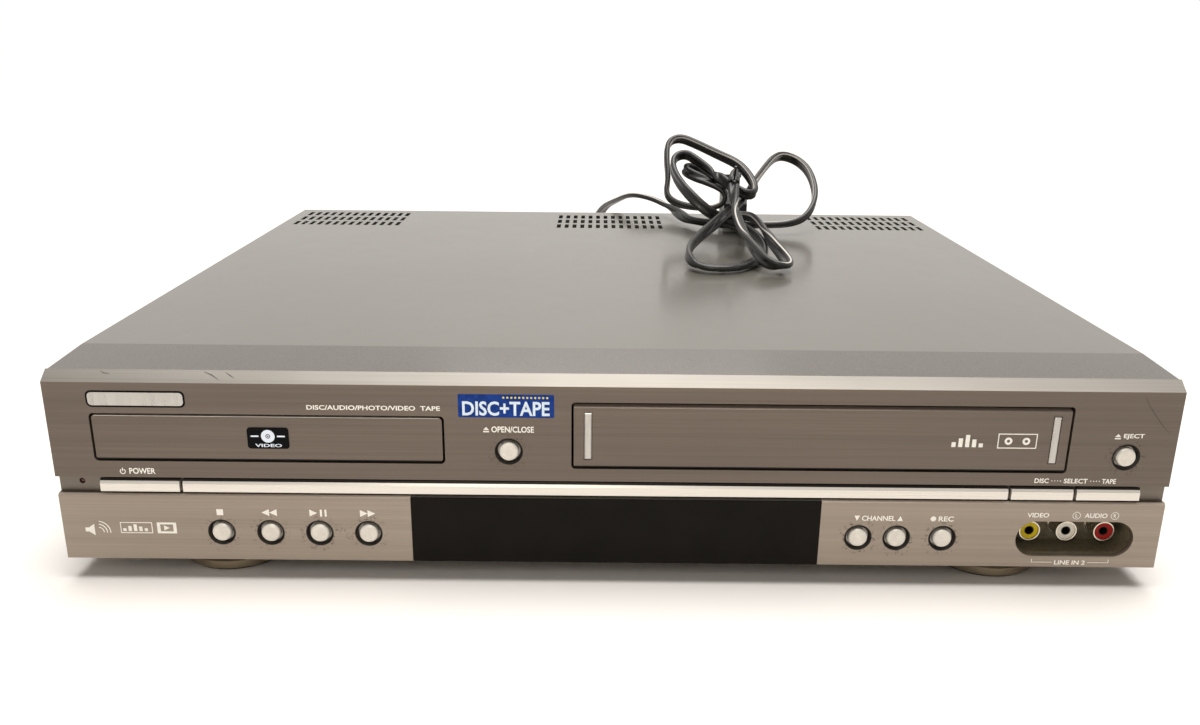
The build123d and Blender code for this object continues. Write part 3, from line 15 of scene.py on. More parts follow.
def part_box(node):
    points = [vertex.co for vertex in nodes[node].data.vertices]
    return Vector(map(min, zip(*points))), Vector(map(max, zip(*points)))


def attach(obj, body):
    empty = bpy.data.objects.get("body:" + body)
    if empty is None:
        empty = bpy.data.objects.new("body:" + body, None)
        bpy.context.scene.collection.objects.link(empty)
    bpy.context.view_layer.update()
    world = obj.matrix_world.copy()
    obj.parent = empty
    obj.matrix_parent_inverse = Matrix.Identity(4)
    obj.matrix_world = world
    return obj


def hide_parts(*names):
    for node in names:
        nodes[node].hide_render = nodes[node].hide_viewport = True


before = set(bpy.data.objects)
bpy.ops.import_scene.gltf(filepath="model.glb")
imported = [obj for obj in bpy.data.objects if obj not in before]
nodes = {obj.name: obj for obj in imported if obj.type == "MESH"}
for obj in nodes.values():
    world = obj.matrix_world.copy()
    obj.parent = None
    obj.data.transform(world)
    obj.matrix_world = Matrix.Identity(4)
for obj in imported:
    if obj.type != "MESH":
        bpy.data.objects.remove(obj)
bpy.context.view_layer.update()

print("packed pieces:", len(nodes))

# %% [markdown]
# Drawing coordinates.
# The drawing of the part counts millimetres from the flat front face (y) and from the front panel's lower
# edge (z), with x = 0 in the middle. Every place below is given that way, so that a mark or a screw can be
# checked against the drawing. One helper turns such a place into the scene's metres.

# %% Places on the drawing
FACE_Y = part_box("front_panel")[0].y
PANEL_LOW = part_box("front_panel")[0].z
MM = 0.001


def place(x, y, z):
    """A place on the drawing, in millimetres, as a point of the scene."""
    return Vector((x * MM, FACE_Y + y * MM, PANEL_LOW + z * MM))


def heights(name):
    """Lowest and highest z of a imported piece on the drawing."""
    low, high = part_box(name)
    return (low.z - PANEL_LOW) / MM, (high.z - PANEL_LOW) / MM


cover_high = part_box("top_cover")[1]
COVER_TOP = (cover_high.z - PANEL_LOW) / MM
HALF_WIDTH = cover_high.x / MM
CASE_DEPTH = (cover_high.y - FACE_Y) / MM
print(f"cover top {COVER_TOP:.1f}, half width {HALF_WIDTH:.1f}, depth {CASE_DEPTH:.1f} mm")

# %% [markdown]
# The camera.
# The portrait was taken by hand from just above the player's front edge, close, with a moderately wide
# lens. A camera is an object like any other: turn it about the vertical, tip it down, roll it a little,
# and move it to the eye point. The lens length belongs to a sensor that is 36 mm wide.

# %% The camera of the portrait
EYE = place(-6.26, -369.28, 200.19)
TURN, TIP, ROLL = (math.radians(angle) for angle in (-0.135, 90 - 17.593, 0.599))
SENSOR_WIDTH, LENS_LENGTH = 36, 31.24
camera_data = bpy.data.cameras.new("portrait_camera")
camera_data.sensor_width = SENSOR_WIDTH
camera_data.lens = LENS_LENGTH
camera_data.clip_start = 0.01
camera = bpy.data.objects.new("portrait_camera", camera_data)
bpy.context.scene.collection.objects.link(camera)
aim = Matrix.Rotation(TURN, 4, "Z") @ Matrix.Rotation(TIP, 4, "X") @ Matrix.Rotation(ROLL, 4, "Z")
camera.matrix_world = Matrix.Translation(EYE) @ aim
bpy.context.scene.camera = camera
print("camera stands at", [round(v, 3) for v in EYE])

# %% [markdown]
# Materials, 1: a plain surface.
# A material here is one Principled shader. What is the same all over the surface is typed straight into the
# shader's sockets. It could as well come from a node, but then a reader has to follow a link to find one
# number.

# %% Helpers for a plain surface


def shader_of(material):
    """The shader node that every material here has."""
    return material.node_tree.nodes["Principled BSDF"]


def surface(name, colour, metallic=0.0, roughness=0.5, **sockets):
    """A Principled material with plain values; sockets are given with _ for each space."""
    material = bpy.data.materials.new(name)
    material.use_nodes = True
    shader = shader_of(material)
    shader.inputs["Base Color"].default_value = (*colour, 1)
    shader.inputs["Metallic"].default_value = metallic
    shader.inputs["Roughness"].default_value = roughness
    for socket, value in sockets.items():
        shader.inputs[socket.replace("_", " ")].default_value = value
    return material


def add(material, kind, **values):
    """A new node of a material, with some of its settings or sockets set."""
    node = material.node_tree.nodes.new(kind)
    for key, value in values.items():
        if hasattr(node, key):
            setattr(node, key, value)
        else:
            node.inputs[key.replace("_", " ")].default_value = value
    return node


def join(material, source, target):
    """A link from one node's output to another's input."""
    material.node_tree.links.new(source, target)


def dress(material, *names):
    """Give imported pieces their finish."""
    for name in names:
        mesh = nodes[name].data
        mesh.materials.clear()
        mesh.materials.append(material)
    print(f"{material.name}: {', '.join(names)}")


# %% [markdown]
# Materials, 2: grain.
# What varies, such as brushing, dust or the grain of a moulding, comes from a noise texture that is read in
# the object's own coordinates, so it keeps its scale in millimetres and moves with the piece. A photograph of
# the surface could do the same, but a noise has no seams and no fixed resolution. One noise drives the
# colour, the gloss and the height together, because on a real surface they change together.

# %% Helpers for grain


def noise(material, per_metre, detail=4.0):
    """Noise with so many swings per metre along x, y and z."""
    where = add(material, "ShaderNodeTexCoord")
    stretch = add(material, "ShaderNodeMapping")
    stretch.inputs["Scale"].default_value = per_metre
    texture = add(material, "ShaderNodeTexNoise", Scale=1.0, Detail=detail, Roughness=0.6)
    join(material, where.outputs["Object"], stretch.inputs["Vector"])
    join(material, stretch.outputs["Vector"], texture.inputs["Vector"])
    return texture.outputs["Fac"]


def mix_colours(material, factor, low, high):
    """Blend two colours, each a plain colour or another node's output."""
    blend = add(material, "ShaderNodeMix", data_type="RGBA")
    join(material, factor, blend.inputs["Factor"])
    for socket, colour in (("A", low), ("B", high)):
        target = [s for s in blend.inputs if s.name == socket and s.type == "RGBA"][0]
        if isinstance(colour, tuple):
            target.default_value = (*colour, 1)
        else:
            join(material, colour, target)
    return [s for s in blend.outputs if s.type == "RGBA"][0]


def spread(material, factor, low, high):
    """Stretch the noise's middle range to the range low to high."""
    ramp = add(material, "ShaderNodeMapRange")
    for socket, value in (("From Min", 0.3), ("From Max", 0.7), ("To Min", low), ("To Max", high)):
        ramp.inputs[socket].default_value = value
    join(material, factor, ramp.inputs["Value"])
    return ramp.outputs["Result"]


def emboss(material, height, depth):
    """Let a pattern stand out by depth, in metres."""
    bump = add(material, "ShaderNodeBump", Strength=1.0, Distance=depth)
    join(material, height, bump.inputs["Height"])
    join(material, bump.outputs["Normal"], shader_of(material).inputs["Normal"])


def shade(colour, by):
    """A colour made darker or lighter by a factor."""
    return tuple(min(1.0, channel * by) for channel in colour)


def grained(name, colour, per_metre, metallic=0.0, roughness=(0.4, 0.5), vary=0.06, depth=0.0, **sockets):
    """A surface whose colour, gloss and height follow one noise."""
    material = surface(name, colour, metallic, sum(roughness) / 2, **sockets)
    shader = shader_of(material)
    pattern = noise(material, per_metre)
    tint = mix_colours(
        material, spread(material, pattern, 0, 1), shade(colour, 1 - vary), shade(colour, 1 + vary)
    )
    join(material, tint, shader.inputs["Base Color"])
    join(material, spread(material, pattern, *roughness), shader.inputs["Roughness"])
    if depth:
        emboss(material, pattern, depth)
    return material


# %% [markdown]
# Materials, 3: zones.
# One moulding often has more than one finish: a masked edge, a dark mouth, a bright rim. The mesh could be
# cut into separate pieces or slots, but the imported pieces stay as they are. So the shader asks where it is,
# in the object's coordinates, and picks the finish of that zone.

# %% Helpers for zones


def beyond(material, axis, limit):
    """1 where the object's coordinate along axis is above limit, in metres."""
    where = add(material, "ShaderNodeTexCoord")
    split = add(material, "ShaderNodeSeparateXYZ")
    join(material, where.outputs["Object"], split.inputs["Vector"])
    test = add(material, "ShaderNodeMath", operation="GREATER_THAN")
    join(material, split.outputs[axis], test.inputs[0])
    test.inputs[1].default_value = limit
    return test.outputs["Value"]


def above(material, z):
    """1 higher up than z on the drawing."""
    return beyond(material, "Z", place(0, 0, z).z)


def behind(material, y):
    """1 further back than y on the drawing."""
    return beyond(material, "Y", place(0, y, 0).y)


def near(material, x, z, inner, outer):
    """1 inside a circle on the front, falling to 0 between two radii, all on the drawing."""
    where = add(material, "ShaderNodeTexCoord")
    flat = add(material, "ShaderNodeVectorMath", operation="MULTIPLY")
    flat.inputs[1].default_value = (1, 0, 1)
    away = add(material, "ShaderNodeVectorMath", operation="DISTANCE")
    centre = place(x, 0, z)
    away.inputs[1].default_value = (centre.x, 0, centre.z)
    join(material, where.outputs["Object"], flat.inputs[0])
    join(material, flat.outputs["Vector"], away.inputs[0])
    fall = add(material, "ShaderNodeMapRange")
    for socket, value in (("From Min", inner * MM), ("From Max", outer * MM), ("To Min", 1), ("To Max", 0)):
        fall.inputs[socket].default_value = value
    join(material, away.outputs["Value"], fall.inputs["Value"])
    return fall.outputs["Result"]


def any_of(material, zones):
    """The largest of several zones at each place."""
    whole = zones[0]
    for zone in zones[1:]:
        most = add(material, "ShaderNodeMath", operation="MAXIMUM")
        join(material, whole, most.inputs[0])
        join(material, zone, most.inputs[1])
        whole = most.outputs["Value"]
    return whole


def both(material, first, second):
    """Product of two patterns."""
    product = add(material, "ShaderNodeMath", operation="MULTIPLY")
    join(material, first, product.inputs[0])
    join(material, second, product.inputs[1])
    return product.outputs["Value"]


def overlay(material, zone, colour):
    """Lay one more colour over a grained material inside a zone."""
    tint = shader_of(material).inputs["Base Color"]
    join(material, mix_colours(material, zone, tint.links[0].from_socket, colour), tint)


# %% [markdown]
# The front panel.
# It is one moulding in metallic lacquer. The upper half is dark champagne, brushed sideways; the lower half
# is a lighter, warmer silver; the bevel along the top is a neutral silver that catches the light. Zones by
# height do it, because it is one piece. The brushing is a noise that changes quickly with height and very
# slowly along the panel. Each round key sits in a thin dark ring of painted shade, for the gap round it, and
# the lacquer beside the keys holds the dirt of many fingers.

# %% Colours and places of the lacquer
GROOVE_TOP, FACE_TOP = 34.9, 73.4
MASK_EDGE = GROOVE_TOP - 3  # inside the groove, where the two lacquers meet
GROOVE_DEPTH = 1.2  # the shade in the groove begins this far behind the face
DARK_CHAMPAGNE = (0.145, 0.116, 0.094)
WARM_SILVER = (0.300, 0.250, 0.204)
BRIGHT_SILVER = (0.175, 0.163, 0.146)
GROOVE_SHADE = (0.165, 0.140, 0.115)
# painted highlight along the upper edge of the tray front and the cassette flap
PAINTED_EDGE_HIGHLIGHT = (0.80, 0.75, 0.68)
# painted shadow in gaps: along the lower edge of tray front and flap, and over the strip
PAINTED_GAP_SHADOW = (0.012, 0.010, 0.008)
# painted shade in the gap round each key
PAINTED_RING_SHADE = (0.022, 0.018, 0.015)
DIRT_BROWN = (0.05, 0.04, 0.03)
FINE_BRUSHING = (9, 50, 3400)
BROAD_BRUSHING = (3, 20, 420)
SMEARS = (9, 9, 30)
KEYS = {
    "stop": (-153.0, 11.8), "rewind": (-133.8, 11.8), "play": (-114.6, 11.8), "forward": (-95.4, 11.8),
    "channel_down": (96.6, 12.0), "channel_up": (111.7, 12.0), "record": (129.7, 12.0),
    "open_close": (-39.9, 47.0), "eject": (196.4, 47.0),
}  # fmt: skip
# the dark ring is painted shade
KEY_RING = 5.35  # radius of the dark ring
RING_FADE, DIRT_FADE = 0.15, 3.5  # how far ring and dirt reach beyond it
DIRT_SPOTS = ((-106.5, 12.5, 3.2), (-102.5, 10.5, 3.0), (-98.0, 5.8, 2.4), (-112.0, 5.6, 2.2))  # x, z, radius
print(len(KEYS), "keys on the drawing")

# %% Brushed lacquer


def brushed_colour(material, colour, pattern, contrast):
    """The colour, darker and lighter by contrast as the pattern goes."""
    darker = add(material, "ShaderNodeHueSaturation", Value=1 - contrast)
    lighter = add(material, "ShaderNodeHueSaturation", Value=1 + contrast)
    join(material, colour, darker.inputs["Color"])
    join(material, colour, lighter.inputs["Color"])
    share = spread(material, pattern, 0, 1)
    return mix_colours(material, share, darker.outputs["Color"], lighter.outputs["Color"])


def brushed(name, lower, upper, top, top_or_highlight_from, painted_shadow_below=None):
    """Brushed lacquer in zones by height, with rings of painted shade round the keys and the dirt beside
    them.
    """
    material = surface(name, upper, 0.7, 0.4)
    shader = shader_of(material)
    fine, broad = noise(material, FINE_BRUSHING, 5.0), noise(material, BROAD_BRUSHING, 3.0)
    colour = mix_colours(material, above(material, MASK_EDGE), lower, upper)
    colour = mix_colours(material, behind(material, GROOVE_DEPTH), colour, GROOVE_SHADE)
    # top zone: the bevel's own silver on the panel, a painted highlight on the tray front and the flap
    colour = mix_colours(material, above(material, top_or_highlight_from), colour, top)
    # painted shadow: a black line along the lower edge, where the gap to the panel lies in shade
    if painted_shadow_below:
        colour = mix_colours(material, above(material, painted_shadow_below), PAINTED_GAP_SHADOW, colour)
    colour = brushed_colour(material, colour, fine, 0.10)
    colour = brushed_colour(material, colour, broad, 0.07)
    # rings of painted shade round the keys; the dirt beside them is real
    rings = [near(material, x, z, KEY_RING, KEY_RING + RING_FADE) for x, z in KEYS.values()]
    dirt = [near(material, x, z, KEY_RING, KEY_RING + DIRT_FADE) for x, z in KEYS.values()]
    dirt += [near(material, x, z, r * 0.3, r) for x, z, r in DIRT_SPOTS]
    specks = spread(material, noise(material, (900, 900, 900), 3.0), -1.6, 1.0)
    colour = mix_colours(material, both(material, any_of(material, dirt), specks), colour, DIRT_BROWN)
    colour = mix_colours(material, any_of(material, rings), colour, PAINTED_RING_SHADE)
    join(material, colour, shader.inputs["Base Color"])
    join(material, spread(material, noise(material, SMEARS, 3.0), 0.36, 0.48), shader.inputs["Roughness"])
    emboss(material, fine, 0.000008)
    return material


# %% [markdown]
# Tray front and cassette flap.
# Both are separate mouldings in the lacquer of the panel. Their rounded upper edge gets a painted highlight,
# and a thin black line of painted shadow runs along the lower one, where the gap to the panel shows. So each
# gets its own lacquer, with the edge measured from the imported piece.

# %% Panel, tray front and flap
SHADOW_LINE = 0.45  # height of the black line
PAINTED_HIGHLIGHT_EDGES = (("tray_front", 0.12), ("cassette_door", 0.9))  # height of the bright edge
dress(brushed("panel_lacquer", WARM_SILVER, DARK_CHAMPAGNE, BRIGHT_SILVER, FACE_TOP + 0.05), "front_panel")
for name, edge in PAINTED_HIGHLIGHT_EDGES:
    low, high = heights(name)
    lacquer = brushed(
        name + "_lacquer", WARM_SILVER, DARK_CHAMPAGNE, PAINTED_EDGE_HIGHLIGHT, high - edge, low + SHADOW_LINE
    )
    dress(lacquer, name)

# %% [markdown]
# The cover.
# A bent steel sheet with metallic paint under a clear coat. Such paint has a fine sparkle, so its noise is
# small in all directions. The sloped band behind the bevel gets a darker colour, painted shade for a face
# that mirrors a darker part of the room. Broad, faint smears in the gloss stand for years of dusting, and the
# clear coat gives the soft mirror image of the room.

# %% Cover finish
COVER_PAINT = (0.092, 0.086, 0.066)
# painted shade: the sloped band mirrors a darker part of the room
BAND_PAINTED_SHADE = (0.048, 0.036, 0.028)
FLECK = (0.8, 0.78, 0.74)
BAND_DEPTH = 33.2
cover_finish = surface("cover_paint", COVER_PAINT, 0.25, 0.42, Coat_Weight=1.0, Coat_Roughness=0.16)
sparkle = noise(cover_finish, (2400, 2400, 2400), 2.0)
dusting = noise(cover_finish, (14, 9, 14), 5.0)
# the band behind the bevel gets painted shade
shaded_band_or_top = mix_colours(cover_finish, behind(cover_finish, BAND_DEPTH), BAND_PAINTED_SHADE, COVER_PAINT)
flecked = mix_colours(cover_finish, spread(cover_finish, sparkle, 0.0, 0.10), shaded_band_or_top, FLECK)
join(cover_finish, flecked, shader_of(cover_finish).inputs["Base Color"])
join(cover_finish, spread(cover_finish, dusting, 0.36, 0.50), shader_of(cover_finish).inputs["Roughness"])
emboss(cover_finish, sparkle, 0.00001)
dress(cover_finish, "top_cover")

# %% [markdown]
# Bright pieces.
# The strip in the groove, the round buttons and the two trims of the cassette flap are silver lacquer over
# plastic: a metallic surface of medium gloss. The buttons are touched most, so theirs is duller and patchy.
# The strip reaches up under the lip of the upper panel, so its top edge gets painted shade, a black band.

# %% Silver lacquer
# height from which the strip's top edge gets painted shade
STRIP_SHADE_FROM = 33.2
strip_finish = grained(
    "strip_lacquer", (0.70, 0.66, 0.60), (12, 200, 1500), 0.75, (0.26, 0.34), 0.04, 0.000004
)
trim_finish = grained("trim_lacquer", (0.46, 0.44, 0.41), (300, 200, 40), 0.8, (0.24, 0.34), 0.12)
button_finish = grained(
    "button_lacquer", (0.72, 0.68, 0.61), (420, 420, 420), 0.3, (0.38, 0.55), 0.10, 0.00001
)
# painted shade: black along the strip's top edge, under the lip of the upper panel
overlay(strip_finish, above(strip_finish, STRIP_SHADE_FROM), PAINTED_GAP_SHADOW)
dress(strip_finish, "strip_trim", "power_button", "disc_select_button", "tape_select_button")
dress(trim_finish, "door_trims")
dress(button_finish, *(key + "_button" for key in KEYS))

# %% [markdown]
# Smoked window, display tube and boards.
# The window looks black because the room behind it is dark. It is polished plastic: low roughness and a
# trace of haze from wiping, with a paler line of painted highlight along its upper edge, where it meets the
# panel. Behind it stand the tube and the boards, which are seen only when the casing is open.

# %% Window, tube and boards
WINDOW_EDGE_HIGHLIGHT, HIGHLIGHT_HEIGHT = (0.075, 0.067, 0.058), 0.45
window_finish = grained(
    "smoked_plastic", (0.0055, 0.0042, 0.003), (60, 60, 60), 0.0, (0.10, 0.17), 0.2, Specular_IOR_Level=0.08
)
tube_finish = grained("tube_glass", (0.03, 0.035, 0.035), (200, 200, 200), 0.0, (0.05, 0.08), 0.1)
board_finish = grained("board_resin", (0.03, 0.16, 0.07), (300, 300, 300), 0.0, (0.30, 0.45), 0.25, 0.00002)
# painted highlight along the window's upper edge
overlay(window_finish, above(window_finish, heights("display_window")[1] - HIGHLIGHT_HEIGHT), WINDOW_EDGE_HIGHLIGHT)
dress(window_finish, "display_window")
dress(tube_finish, "display_tube")
dress(board_finish, "front_board", "main_board", "power_board")

# %% [markdown]
# Front jacks.
# Three phono jacks sit in a dark recess. Their rims are nickel plated and their inserts are coded yellow,
# white and red. Each insert is its own imported node, so each gets its own colour, with the mouth of the
# socket as a black round zone of painted shade in its middle.

# %% Front jack finishes
NICKEL = (0.62, 0.57, 0.48)
SOCKET_PAINTED_SHADE = (0.02, 0.017, 0.012)
CODE_YELLOW, CODE_WHITE, CODE_RED = (0.66, 0.50, 0.012), (0.80, 0.76, 0.66), (0.36, 0.012, 0.010)
MOUTH_R, MOUTH_FADE = 1.7, 0.4
recess_finish = grained(
    "recess_plastic", (0.17, 0.145, 0.090), (500, 500, 500), 0.0, (0.4, 0.6), 0.35, 0.00003
)
nickel = grained("nickel_plating", NICKEL, (500, 500, 500), 1.0, (0.18, 0.30), 0.06)
dress(recess_finish, "jack_cup")
dress(nickel, "jack_sleeves")
for code, colour in (("yellow", CODE_YELLOW), ("white", CODE_WHITE), ("red", CODE_RED)):
    name = "jack_insert_" + code
    insert = grained(
        name + "_plastic", colour, (600, 600, 600), 0.0, (0.3, 0.45), 0.08, Specular_IOR_Level=0.12
    )
    low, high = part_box(name)
    middle = (low + high) / 2
    # painted shade: a black disc for the hole of the socket
    mouth_shade = near(insert, middle.x / MM, (middle.z - PANEL_LOW) / MM, MOUTH_R, MOUTH_R + MOUTH_FADE)
    overlay(insert, mouth_shade, SOCKET_PAINTED_SHADE)
    dress(insert, name)

# %% [markdown]
# Rear jacks.
# The nine jacks at the rear are one packed block. Nickel begins at the rear panel, and the insulator inside
# each rim is coded by row, so the same zones by distance serve again.

# %% Rear jack finish
REAR_PANEL_Y = 363.0
REAR_ROWS = ((24.0, CODE_RED), (38.0, CODE_WHITE), (52.0, CODE_YELLOW))
REAR_COLUMNS = (-165, -150, -135)
INSULATOR_R, INSULATOR_FADE = 3.1, 0.1
BLOCK_BLACK = (0.03, 0.03, 0.03)
rear_finish = surface("rear_jack_block", BLOCK_BLACK, 0.0, 0.4)
outside = behind(rear_finish, REAR_PANEL_Y)
rear_colour = mix_colours(rear_finish, outside, BLOCK_BLACK, NICKEL)
insulators = []
for z, tint in REAR_ROWS:
    for x in REAR_COLUMNS:
        insulators.append(near(rear_finish, x, z, INSULATOR_R, INSULATOR_R + INSULATOR_FADE))
        rear_colour = mix_colours(rear_finish, insulators[-1], rear_colour, tint)
metal = add(rear_finish, "ShaderNodeMath", operation="SUBTRACT", use_clamp=True)
join(rear_finish, outside, metal.inputs[0])
join(rear_finish, any_of(rear_finish, insulators), metal.inputs[1])
join(rear_finish, rear_colour, shader_of(rear_finish).inputs["Base Color"])
join(rear_finish, metal.outputs["Value"], shader_of(rear_finish).inputs["Metallic"])
emboss(rear_finish, noise(rear_finish, (900, 900, 900)), 0.00001)
dress(rear_finish, "rear_jacks")

# %% [markdown]
# Inside and underneath.
# Zinc plated sheet has a soft blotched sheen, ground shafts are bright, the drum is finely turned alloy,
# and mouldings are black with a fine texture. The feet are lacquered champagne over rubber pads.

# %% Metals of the mechanism
zinc = grained("zinc_plate", (0.58, 0.57, 0.53), (160, 160, 160), 0.9, (0.32, 0.50), 0.10, 0.00001)
ground_steel = grained("ground_steel", (0.72, 0.72, 0.73), (300, 300, 2500), 1.0, (0.15, 0.25), 0.04)
turned_alloy = grained("turned_alloy", (0.78, 0.78, 0.79), (150, 150, 4000), 1.0, (0.16, 0.26), 0.05)
dress(
    zinc, "base_plate", "rear_panel", "clamp_bridge", "traverse_frame", "spindle_motor", "deck_plate",
    "deck_side_plates", "cassette_carriage", "pinch_arm", "tuner_block",
)  # fmt: skip
dress(ground_steel, "guide_rods", "capstan")
dress(turned_alloy, "drum_base", "head_drum")

# %% Mouldings, rubber and feet
black_moulding = grained(
    "black_moulding", (0.030, 0.030, 0.032), (1500, 1500, 1500), 0.0, (0.45, 0.60), 0.3, 0.00002
)
acetal = grained("natural_acetal", (0.80, 0.78, 0.70), (400, 400, 400), 0.0, (0.35, 0.5), 0.05)
pale_moulding = grained("pale_moulding", (0.72, 0.72, 0.69), (800, 800, 800), 0.0, (0.4, 0.55), 0.06)
rubber = grained("black_rubber", (0.022, 0.021, 0.020), (1200, 1200, 1200), 0.0, (0.6, 0.8), 0.3, 0.00003)
foot_lacquer = grained("foot_lacquer", (0.24, 0.19, 0.125), (300, 300, 900), 0.6, (0.28, 0.40), 0.08)
dress(black_moulding, "disc_tray", "loader_frame", "clamp_disc", "pickup", "turntable", "carriage_sliders")
dress(acetal, "tray_gear")
dress(pale_moulding, "supply_reel", "takeup_reel")
dress(rubber, "foot_pads", "pinch_roller")
dress(foot_lacquer, "feet")

# %% [markdown]
# The mains lead, 1: its line.
# A lead is a fixed length of something flexible. Its route is a row of control points and the lead follows
# them as one NURBS curve of order 3, which rounds every corner by itself. It leaves the relief behind the
# player, rises over the rear edge, and then makes the loose bow that lies on the cover.

# %% Route of the lead
RELIEF_TIP = (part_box("lead_relief")[1].y - FACE_Y) / MM
ROUTE = [
    (-22, RELIEF_TIP, 16), (-21.5, 412, 16.5), (-17, 430, 34), (-10, 431, 59), (-3, 413, 75), (6, 391, 83.5),
    (16, 372, 91), (31, 359, 90), (42, 347, 86), (46, 333, 84.9), (50, 319, 83.8), (56, 305, 83.6),
    (69, 296, 83.6), (85, 291, 84), (101, 287, 84.6),
    # right loop
    (115, 287, 85.5), (127, 294, 89), (135, 309, 99), (134.5, 328, 111), (129, 341, 118),
    (119, 344, 122), (110, 336, 121.5), (101, 321, 115), (93, 302, 109.5),
    # front left loop
    (85, 282, 102.5), (74, 264, 97.5), (62, 244, 92.5), (51, 221, 89), (44, 202, 86.8),
    (42, 185, 84), (48, 174, 82), (59, 172, 81.6), (70, 178, 81.4), (80, 191, 81.4),
    (86, 207, 82), (88, 227, 84), (86, 245, 86),
    # upper left loop
    (80, 259, 88.5), (69, 264, 91.5), (57, 261, 99), (47, 267, 108), (42, 280, 113.5),
    (39.5, 291, 119.5), (41, 300, 125), (48.5, 304, 127), (55, 299, 123.5), (67, 287.5, 115.5),
    (75, 279, 110.5),
    # rear left loop
    (82, 272, 106.5), (89, 274, 105.5), (91, 283, 108.5), (88, 293, 115), (82, 303, 121),
    (70, 315, 125.5), (57, 323, 131), (46, 326, 135), (38, 322, 132), (37, 313, 123),
    # small inner turns
    (38, 303, 111), (36, 296, 102), (42, 291, 97), (55, 289, 95), (65, 286.5, 95),
    (72.5, 285.5, 98.5), (73, 286, 106), (63, 288, 111.5), (52, 293, 115), (47.5, 299, 117.5),
    (50, 306, 118), (57, 308, 116), (68, 306, 111.5),
    # front right loop
    (78, 300, 110.5), (81, 290, 117), (77, 278, 117.5), (75, 265, 109.5), (75, 252, 102),
    (75, 237, 96.5), (76, 214, 92), (78, 197, 89), (80, 184, 87), (82, 175, 84.8), (89, 171, 83.2),
    (95, 176, 82.8), (95, 189, 84.5), (92, 214, 87.8), (91, 236, 90),
    # back through the middle and into the plug
    (91, 255, 91.2), (88.5, 273, 92.5), (83, 289, 89.9), (83, 306, 89.9),
]  # fmt: skip


def flowing_line(route):
    """Points along the NURBS curve that has the route's points as its control points."""
    curve = bpy.data.curves.new("lead_line", "CURVE")
    curve.dimensions = "3D"
    spline = curve.splines.new("NURBS")
    spline.points.add(len(route) - 1)
    for point, spot in zip(spline.points, route):
        point.co = (*place(*spot), 1)
    spline.order_u = 3
    spline.use_endpoint_u = True
    spline.resolution_u = 10
    carrier = bpy.data.objects.new("lead_line", curve)
    bpy.context.scene.collection.objects.link(carrier)
    bpy.context.view_layer.update()
    graph = bpy.context.evaluated_depsgraph_get()
    mesh = bpy.data.meshes.new_from_object(carrier.evaluated_get(graph))
    line = [vertex.co.copy() for vertex in mesh.vertices]
    bpy.data.objects.remove(carrier)
    bpy.data.meshes.remove(mesh)
    return line


lead_line = flowing_line(ROUTE)

# %% [markdown]
# The mains lead, 2: its flat twin form.
# Two round conductors side by side, 7 mm by 3.5 mm, with a groove between them. A flat lead bends over its
# flat side only, so its width points along the axis of each bend. That axis is the cross product of
# neighbouring tangents. It is averaged over a few centimetres, because a real lead twists gently. Near the
# cover the width is turned towards level, since the lead lies there. One narrow column of faces carries
# the pale stripe that marks one conductor.

# %% Flat lead
LOBE = 1.75 * MM  # radius of each conductor's covering
STEPS = 9  # faces round each lobe
OPEN = 50  # degrees left out of each lobe, either side of the groove
STRIPE_COLUMN = STEPS + 1 + STEPS // 2 - 2  # faces counted round the outline
TWIST_SPAN = 22  # points that the width is averaged over, to either side
LEVEL_BELOW, FREE_ABOVE = 4, 16  # heights over the cover between which the width turns level
SMOOTHINGS = 8


def twin_section():
    """Outline of the flat lead as (width, thickness) pairs."""
    outline = []
    for side, start in ((1, OPEN - 180), (-1, OPEN)):
        for step in range(STEPS + 1):
            angle = math.radians(start + (360 - 2 * OPEN) * step / STEPS)
            outline.append((side * LOBE + LOBE * math.cos(angle), LOBE * math.sin(angle)))
    return outline


# %% [markdown]
# The mains lead, 3: how its width turns.
# The width follows the axis of each bend, averaged, and is made square to the line at every point. Where a
# bend changes side, its axis would flip, so each one is compared with the last and turned back.

# %% Width along the lead


def lead_widths(line):
    """A unit vector across the lead at each point of its line."""
    tangents = [(b - a).normalized() for a, b in zip(line, line[1:])]
    tangents.append(tangents[-1])
    bends, last = [], Vector((1, 0, 0))
    for before, after in zip(tangents, tangents[1:] + tangents[-1:]):
        bend = before.cross(after)
        bends.append(-bend if bend.dot(last) < 0 else bend)
        last = bends[-1].normalized() if bend.length > 1e-6 else last
    widths = []
    for i, tangent in enumerate(tangents):
        width = sum(bends[max(0, i - TWIST_SPAN) : i + TWIST_SPAN + 1], Vector((0, 0, 0)))
        if width.length < 1e-6:
            width = widths[-1].copy() if widths else Vector((1, 0, 0))
        width.normalize()
        height = (line[i].z - cover_high.z) / MM
        if line[i].y <= cover_high.y and height <= FREE_ABOVE:
            width.z *= max(0.0, (height - LEVEL_BELOW) / (FREE_ABOVE - LEVEL_BELOW))
        width -= tangent * width.dot(tangent)
        if width.length < 0.05:
            width = widths[-1] - tangent * widths[-1].dot(tangent)
        width.normalize()
        if widths and width.dot(widths[-1]) < 0:
            width = -width
        widths.append(width)
    for _ in range(SMOOTHINGS):
        smooth = [(a + b + c).normalized() for a, b, c in zip(widths, widths[1:], widths[2:])]
        widths = [widths[0]] + smooth + [widths[-1]]
    return tangents, widths


# %% [markdown]
# The mains lead, 4: the sweep.
# A curve with a bevel could sweep the section, but it turns the section by its own rule. So the rings are set
# up here, one at each point of the line, and joined by faces. The lead is the one soft piece, and it stands
# for the two packed tubes of the same route.

# %% Sweeping the section


